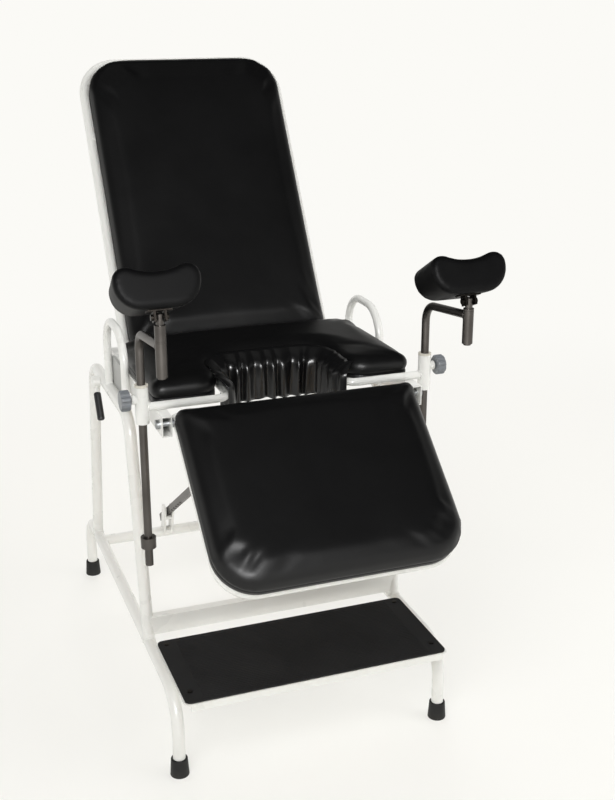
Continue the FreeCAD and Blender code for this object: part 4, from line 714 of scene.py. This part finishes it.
# Rod sockets on the ends of the front rail, with their weld beads, plastic bushes and clamp knobs.
# The knobs are moulded in grey plastic round a steel stud, the bushes in natural nylon.
SOCKET_X = 0.291
SOCKET_Y = -0.086
SOCKET_RADIUS = 0.013
FRONT_RAIL_Z = 0.721
FRONT_RAIL_RADIUS = 0.008
for side, sign in SIDES:
    socket_at = Vector((sign * SOCKET_X, POSTS_Y + SOCKET_Y, FRONT_RAIL_Z))
    frame_seams.append(
        weld_seam(socket_at, Vector((-sign, 0, 0)), Vector((0, 0, 1)), FRONT_RAIL_RADIUS, SOCKET_RADIUS)
    )
weld("frame_welds", "chassis", frame_seams, enamel)
knob, tree, shader, place = finish("moulded_plastic_grey", IOR=1.5)
worn = add(tree, "ShaderNodeTexNoise", {"Vector": place, "Scale": 1 / 0.01, "Detail": 4.0})
vary(tree, shader, worn.outputs["Fac"], ("#686C71", "#84888D"), (0.3, 0.45))
coat(knob, "crutch_knob_left", "crutch_knob_right")
nylon, tree, shader, place = finish("moulded_nylon_natural", IOR=1.53)
cloud = add(tree, "ShaderNodeTexNoise", {"Vector": place, "Scale": 1 / 0.008, "Detail": 2.0})
vary(tree, shader, cloud.outputs["Fac"], ("#CFCBBF", "#DEDACF"), (0.4, 0.55))
coat(nylon, "crutch_bush_left", "crutch_bush_right")

# Backrest: bent tube frame with two cross tubes, a board and its cushion, leaning back on the hinge bolts.
# The cover is turned over the board's edge and stapled on its rear face.
BACK_LEAN = math.radians(32)
BACK_HALF = 0.232
BACK_TUBE_RADIUS = 0.011
BACK_CROSS = (0.190, 0.520)
BACK_BOARD = 0.010
BACK_PAD_HALF = 0.230
BACK_PAD_LOW = 0.010
BACK_PAD_HIGH = 0.699
BACK_THICKNESS = 0.040
BACK_LOW_CORNER = 0.030
BACK_HIGH_CORNER = 0.086
back_along = Vector((0, math.sin(BACK_LEAN), math.cos(BACK_LEAN)))
back_front = Vector((0, -math.cos(BACK_LEAN), math.sin(BACK_LEAN)))


def plane_at(origin, up, out):
    """Place of a piece drawn flat, with its Y along up and its Z along out."""
    turned = Matrix((Vector((1, 0, 0)), up, out)).transposed().to_4x4()
    return Matrix.Translation(origin) @ turned


def back_shape(inset):
    """Backrest with round upper corners, drawn in all round."""
    half, low_edge, high_edge = BACK_PAD_HALF - inset, BACK_PAD_LOW + inset, BACK_PAD_HIGH - inset
    return outline((
        (-half, low_edge, less(BACK_LOW_CORNER, inset)),
        (half, low_edge, less(BACK_LOW_CORNER, inset)),
        (half, high_edge, less(BACK_HIGH_CORNER, inset)),
        (-half, high_edge, less(BACK_HIGH_CORNER, inset)),
    ))


back_hinge = Vector((0, hinge_at["backrest_recline"].y, hinge_at["backrest_recline"].z))
back_board_front = back_hinge + back_front * (BACK_TUBE_RADIUS + BACK_BOARD)
back_place = plane_at(back_board_front, back_along, back_front)
upholster("backrest_pad", "backrest", "backrest_cushion", back_shape, BACK_THICKNESS, BACK_BOARD, back_place)
back_seams = [
    weld_seam(
        back_hinge + back_along * level + Vector((sign * BACK_HALF, 0, 0)),
        Vector((-sign, 0, 0)),
        back_along,
        BACK_TUBE_RADIUS,
        BACK_TUBE_RADIUS,
    )
    for level in BACK_CROSS
    for side, sign in SIDES
]
weld("backrest_welds", "backrest", back_seams, enamel)

# Clamp lever: enamelled hub and bar with a black plastic grip pushed on.
# The grip's moulding is smooth, worn to a low shine by hands.
grip, tree, shader, place = finish("moulded_plastic_black", IOR=1.5)
worn = add(tree, "ShaderNodeTexNoise", {"Vector": place, "Scale": 1 / 0.01, "Detail": 3.0})
vary(tree, shader, worn.outputs["Fac"], ("#141415", "#222224"), (0.3, 0.5))
coat(grip, "clamp_lever_grip")

# Leg rest: bent tube frame with a cross tube, a board and its cushion, hung in front of the seat.
# Its cover is turned over and stapled in the same way as the backrest's.
LEG_DROP = math.radians(40)
LEG_HALF = 0.229
LEG_TUBE_RADIUS = 0.010
LEG_CROSS = 0.040
LEG_BOARD = 0.010
LEG_PAD_HALF = 0.244
LEG_PAD_NEAR = 0.009
LEG_PAD_FAR = -0.373
LEG_THICKNESS = 0.045
LEG_FAR_CORNER = 0.084
LEG_NEAR_CORNER = 0.022
leg_back = Vector((0, math.cos(LEG_DROP), math.sin(LEG_DROP)))
leg_out = Vector((0, -math.sin(LEG_DROP), math.cos(LEG_DROP)))


def leg_shape(inset):
    """Leg rest with round lower corners, drawn in all round."""
    half, far, near = LEG_PAD_HALF - inset, LEG_PAD_FAR + inset, LEG_PAD_NEAR - inset
    return outline((
        (-half, far, less(LEG_FAR_CORNER, inset)),
        (half, far, less(LEG_FAR_CORNER, inset)),
        (half, near, less(LEG_NEAR_CORNER, inset)),
        (-half, near, less(LEG_NEAR_CORNER, inset)),
    ))


leg_hinge = Vector((0, hinge_at["leg_rest_lift"].y, hinge_at["leg_rest_lift"].z))
leg_board_top = leg_hinge + leg_out * (LEG_TUBE_RADIUS + LEG_BOARD)
leg_place = plane_at(leg_board_top, leg_back, leg_out)
upholster("leg_rest_pad", "leg_rest", "leg_rest_cushion", leg_shape, LEG_THICKNESS, LEG_BOARD, leg_place)
leg_seams = [
    weld_seam(
        leg_hinge - leg_back * LEG_CROSS + Vector((sign * LEG_HALF, 0, 0)),
        Vector((-sign, 0, 0)),
        leg_back,
        LEG_TUBE_RADIUS,
        LEG_TUBE_RADIUS,
    )
    for side, sign in SIDES
]
weld("leg_rest_welds", "leg_rest", leg_seams, enamel)

# Notched bar, crutch rods, stop collars and cup stems: drawn steel, oiled dark brown-grey.
# Faint drawing lines run along the rods, hands have polished them unevenly, and each arm's end is welded.
ROD_RADIUS = 0.008
ARM_SOCKET_RADIUS = 0.010
ARM_REACH = 0.176
ARM_RISE = 0.023
ARM_END_Z = 0.889
dark, tree, shader, place = finish("drawn_steel_oiled_dark", Metallic=1.0)
handled = add(tree, "ShaderNodeTexNoise", {"Vector": place, "Scale": 1 / 0.05, "Detail": 4.0})
vary(tree, shader, handled.outputs["Fac"], ("#454240", "#6A6662"), (0.28, 0.48))
stretch = add(tree, "ShaderNodeMapping", {"Vector": place, "Scale": (1.0, 1.0, 0.06)})
streaks = add(tree, "ShaderNodeTexNoise", {"Vector": stretch.outputs[0], "Scale": 1 / 0.003, "Detail": 4.0})
relief(tree, shader, streaks.outputs["Fac"], 0.12, 0.0003)
coat(dark, "leg_rest_rack")
for side, sign in SIDES:
    coat(dark, f"crutch_arm_{side}", f"crutch_collar_{side}", f"cup_stem_{side}")
    arm_end = Vector((sign * SOCKET_X, POSTS_Y + SOCKET_Y - ARM_REACH, ARM_END_Z))
    arm = Vector((0, ARM_REACH, -ARM_RISE))
    seam = weld_seam(arm_end, arm, Vector((0, 0, 1)), ROD_RADIUS, ARM_SOCKET_RADIUS)
    weld(f"crutch_weld_{side}", f"crutch_{side}", [seam], dark)

# Leg cups: saddles of self-skinned polyurethane foam, moulded in one piece round a steel plate.
# The skin is black, finely grained and slightly shiny on its rounded edges.
CUP_VOXEL = 0.004
CUP_SMOOTH = 5
skin, tree, shader, place = finish("self_skinned_foam_black", IOR=1.5, Specular_IOR_Level=0.12)
tone = add(tree, "ShaderNodeTexNoise", {"Vector": place, "Scale": 1 / 0.04, "Detail": 4.0})
vary(tree, shader, tone.outputs["Fac"], ("#060607", "#0C0C0D"), (0.46, 0.58))
pores = add(tree, "ShaderNodeTexVoronoi", {"Vector": place, "Scale": 1 / 0.0025}, feature="SMOOTH_F1")
relief(tree, shader, pores.outputs["Distance"], 0.1, 0.0005)
for side, sign in SIDES:
    cup = show(f"cup_pad_{side}", nodes[f"leg_cup_{side}"].data.copy())
    evened(cup, CUP_VOXEL)
    softened(cup, CUP_SMOOTH)
    cup.data.materials.clear()
    cup.data.materials.append(skin)
    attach(cup, f"cup_{side}")
    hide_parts(f"leg_cup_{side}")

# Studio: plain pale floor running out to the same warm white as the background, four soft lamps, camera.
# The floor keeps the chair's shadow near the feet; the sheen lamp by the camera shows only in reflections.
BACKGROUND = "#FBFAF6"
FLOOR_REACH = 60.0
FLOOR_STEPS = 64
SHADOW_NEAR = 1.1
SHADOW_FAR = 3.2
CAMERA_AT = (-0.7282, -2.1487, 1.4667)
CAMERA_YAW = 0.356
CAMERA_PITCH = 0.337
CAMERA_LENS = 53.373
LAMP_AIM = Vector((0, 0, 0.65))
LAMPS = (
    ("key", (-1.9, -2.7, 3.3), 2.2, 76.0, False),
    ("fill", (2.6, -1.7, 2.3), 2.6, 40.0, False),
    ("rim", (0.6, 2.8, 3.2), 2.4, 42.0, False),
    ("sheen", (-0.73, -2.3, 1.5), 0.7, 60.0, True),
)
build = bmesh.new()
bmesh.ops.create_circle(build, cap_ends=True, segments=FLOOR_STEPS, radius=FLOOR_REACH)
floor = show("floor", mesh_of("floor", build))
floor_paint = bpy.data.materials.new("studio_floor_pale")
floor_paint.use_nodes = True
tree = floor_paint.node_tree
tree.nodes.clear()
paths = add(tree, "ShaderNodeLightPath").outputs
rays = {0: paths["Is Glossy Ray"], 1: paths["Is Transmission Ray"]}
shiny = add(tree, "ShaderNodeMath", rays, operation="MAXIMUM")
seen = add(tree, "ShaderNodeMath", {0: paths["Is Camera Ray"], 1: shiny.outputs[0]}, operation="MAXIMUM")
spot = add(tree, "ShaderNodeTexCoord").outputs["Object"]
away = add(tree, "ShaderNodeVectorMath", {0: spot}, operation="LENGTH").outputs["Value"]
fade = add(
    tree,
    "ShaderNodeMapRange",
    {"Value": away, "From Min": SHADOW_NEAR, "From Max": SHADOW_FAR, "To Min": 0.45, "To Max": 0.0},
    interpolation_type="SMOOTHSTEP",
)
painted = add(tree, "ShaderNodeBsdfDiffuse", {"Color": linear(BACKGROUND)})
glow = add(tree, "ShaderNodeEmission", {"Color": linear(BACKGROUND), "Strength": 1.0})
shadowed = add(tree, "ShaderNodeMixShader", {0: fade.outputs[0], 1: glow.outputs[0], 2: painted.outputs[0]})
whole = add(tree, "ShaderNodeMixShader", {0: seen.outputs[0], 1: painted.outputs[0], 2: shadowed.outputs[0]})
add(tree, "ShaderNodeOutputMaterial", {"Surface": whole.outputs[0]})
floor.data.materials.append(floor_paint)
floor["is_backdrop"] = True

world = bpy.data.worlds.new("studio")
world.use_nodes = True
tree = world.node_tree
tree.nodes.clear()
paths = add(tree, "ShaderNodeLightPath").outputs
rays = {0: paths["Is Glossy Ray"], 1: paths["Is Transmission Ray"]}
shiny = add(tree, "ShaderNodeMath", rays, operation="MAXIMUM")
up = add(tree, "ShaderNodeSeparateXYZ", {"Vector": add(tree, "ShaderNodeTexCoord").outputs["Generated"]})
horizon = add(
    tree,
    "ShaderNodeMapRange",
    {"Value": up.outputs["Z"], "From Min": 0.02, "From Max": 0.5, "To Min": 1.0, "To Max": 0.02},
    interpolation_type="SMOOTHSTEP",
)
overhead = add(
    tree,
    "ShaderNodeMapRange",
    {"Value": up.outputs["Z"], "From Min": 0.9, "From Max": 0.99, "To Min": 0.0, "To Max": 0.2},
    interpolation_type="SMOOTHSTEP",
)
sky = add(tree, "ShaderNodeMath", {0: horizon.outputs[0], 1: overhead.outputs[0]}, operation="ADD")
lit = add(tree, "ShaderNodeBackground", {"Color": linear(BACKGROUND), "Strength": 0.5})
reflected = add(tree, "ShaderNodeBackground", {"Color": linear(BACKGROUND), "Strength": sky.outputs[0]})
backdrop = add(tree, "ShaderNodeBackground", {"Color": linear(BACKGROUND), "Strength": 1.0})
inner = add(tree, "ShaderNodeMixShader", {0: shiny.outputs[0], 1: lit.outputs[0], 2: reflected.outputs[0]})
faces = {0: paths["Is Camera Ray"], 1: inner.outputs[0], 2: backdrop.outputs[0]}
outer = add(tree, "ShaderNodeMixShader", faces)
add(tree, "ShaderNodeOutputWorld", {"Surface": outer.outputs[0]})
bpy.context.scene.world = world

for name, spot, across, power, mirrored in LAMPS:
    lamp = bpy.data.lights.new(name, "AREA")
    lamp.shape = "DISK"
    lamp.size = across
    lamp.energy = power
    stand = show(name, lamp)
    stand.location = spot
    stand.rotation_euler = (LAMP_AIM - Vector(spot)).to_track_quat("-Z", "Y").to_euler()
    stand.visible_glossy = mirrored
    stand.visible_diffuse = not mirrored

camera = bpy.data.cameras.new("photo_view")
camera.lens = CAMERA_LENS
camera.sensor_width = 36.0
camera.clip_end = 200.0
viewer = show("photo_view", camera)
viewer.location = (CAMERA_AT[0], POSTS_Y + CAMERA_AT[1], CAMERA_AT[2])
viewer.rotation_euler = (math.pi / 2 - CAMERA_PITCH, 0, -CAMERA_YAW)
bpy.context.scene.camera = viewer
bpy.context.scene.view_settings.view_transform = "Standard"

# Bounds of the shown pieces of the finished chair, floor left out.
low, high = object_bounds()
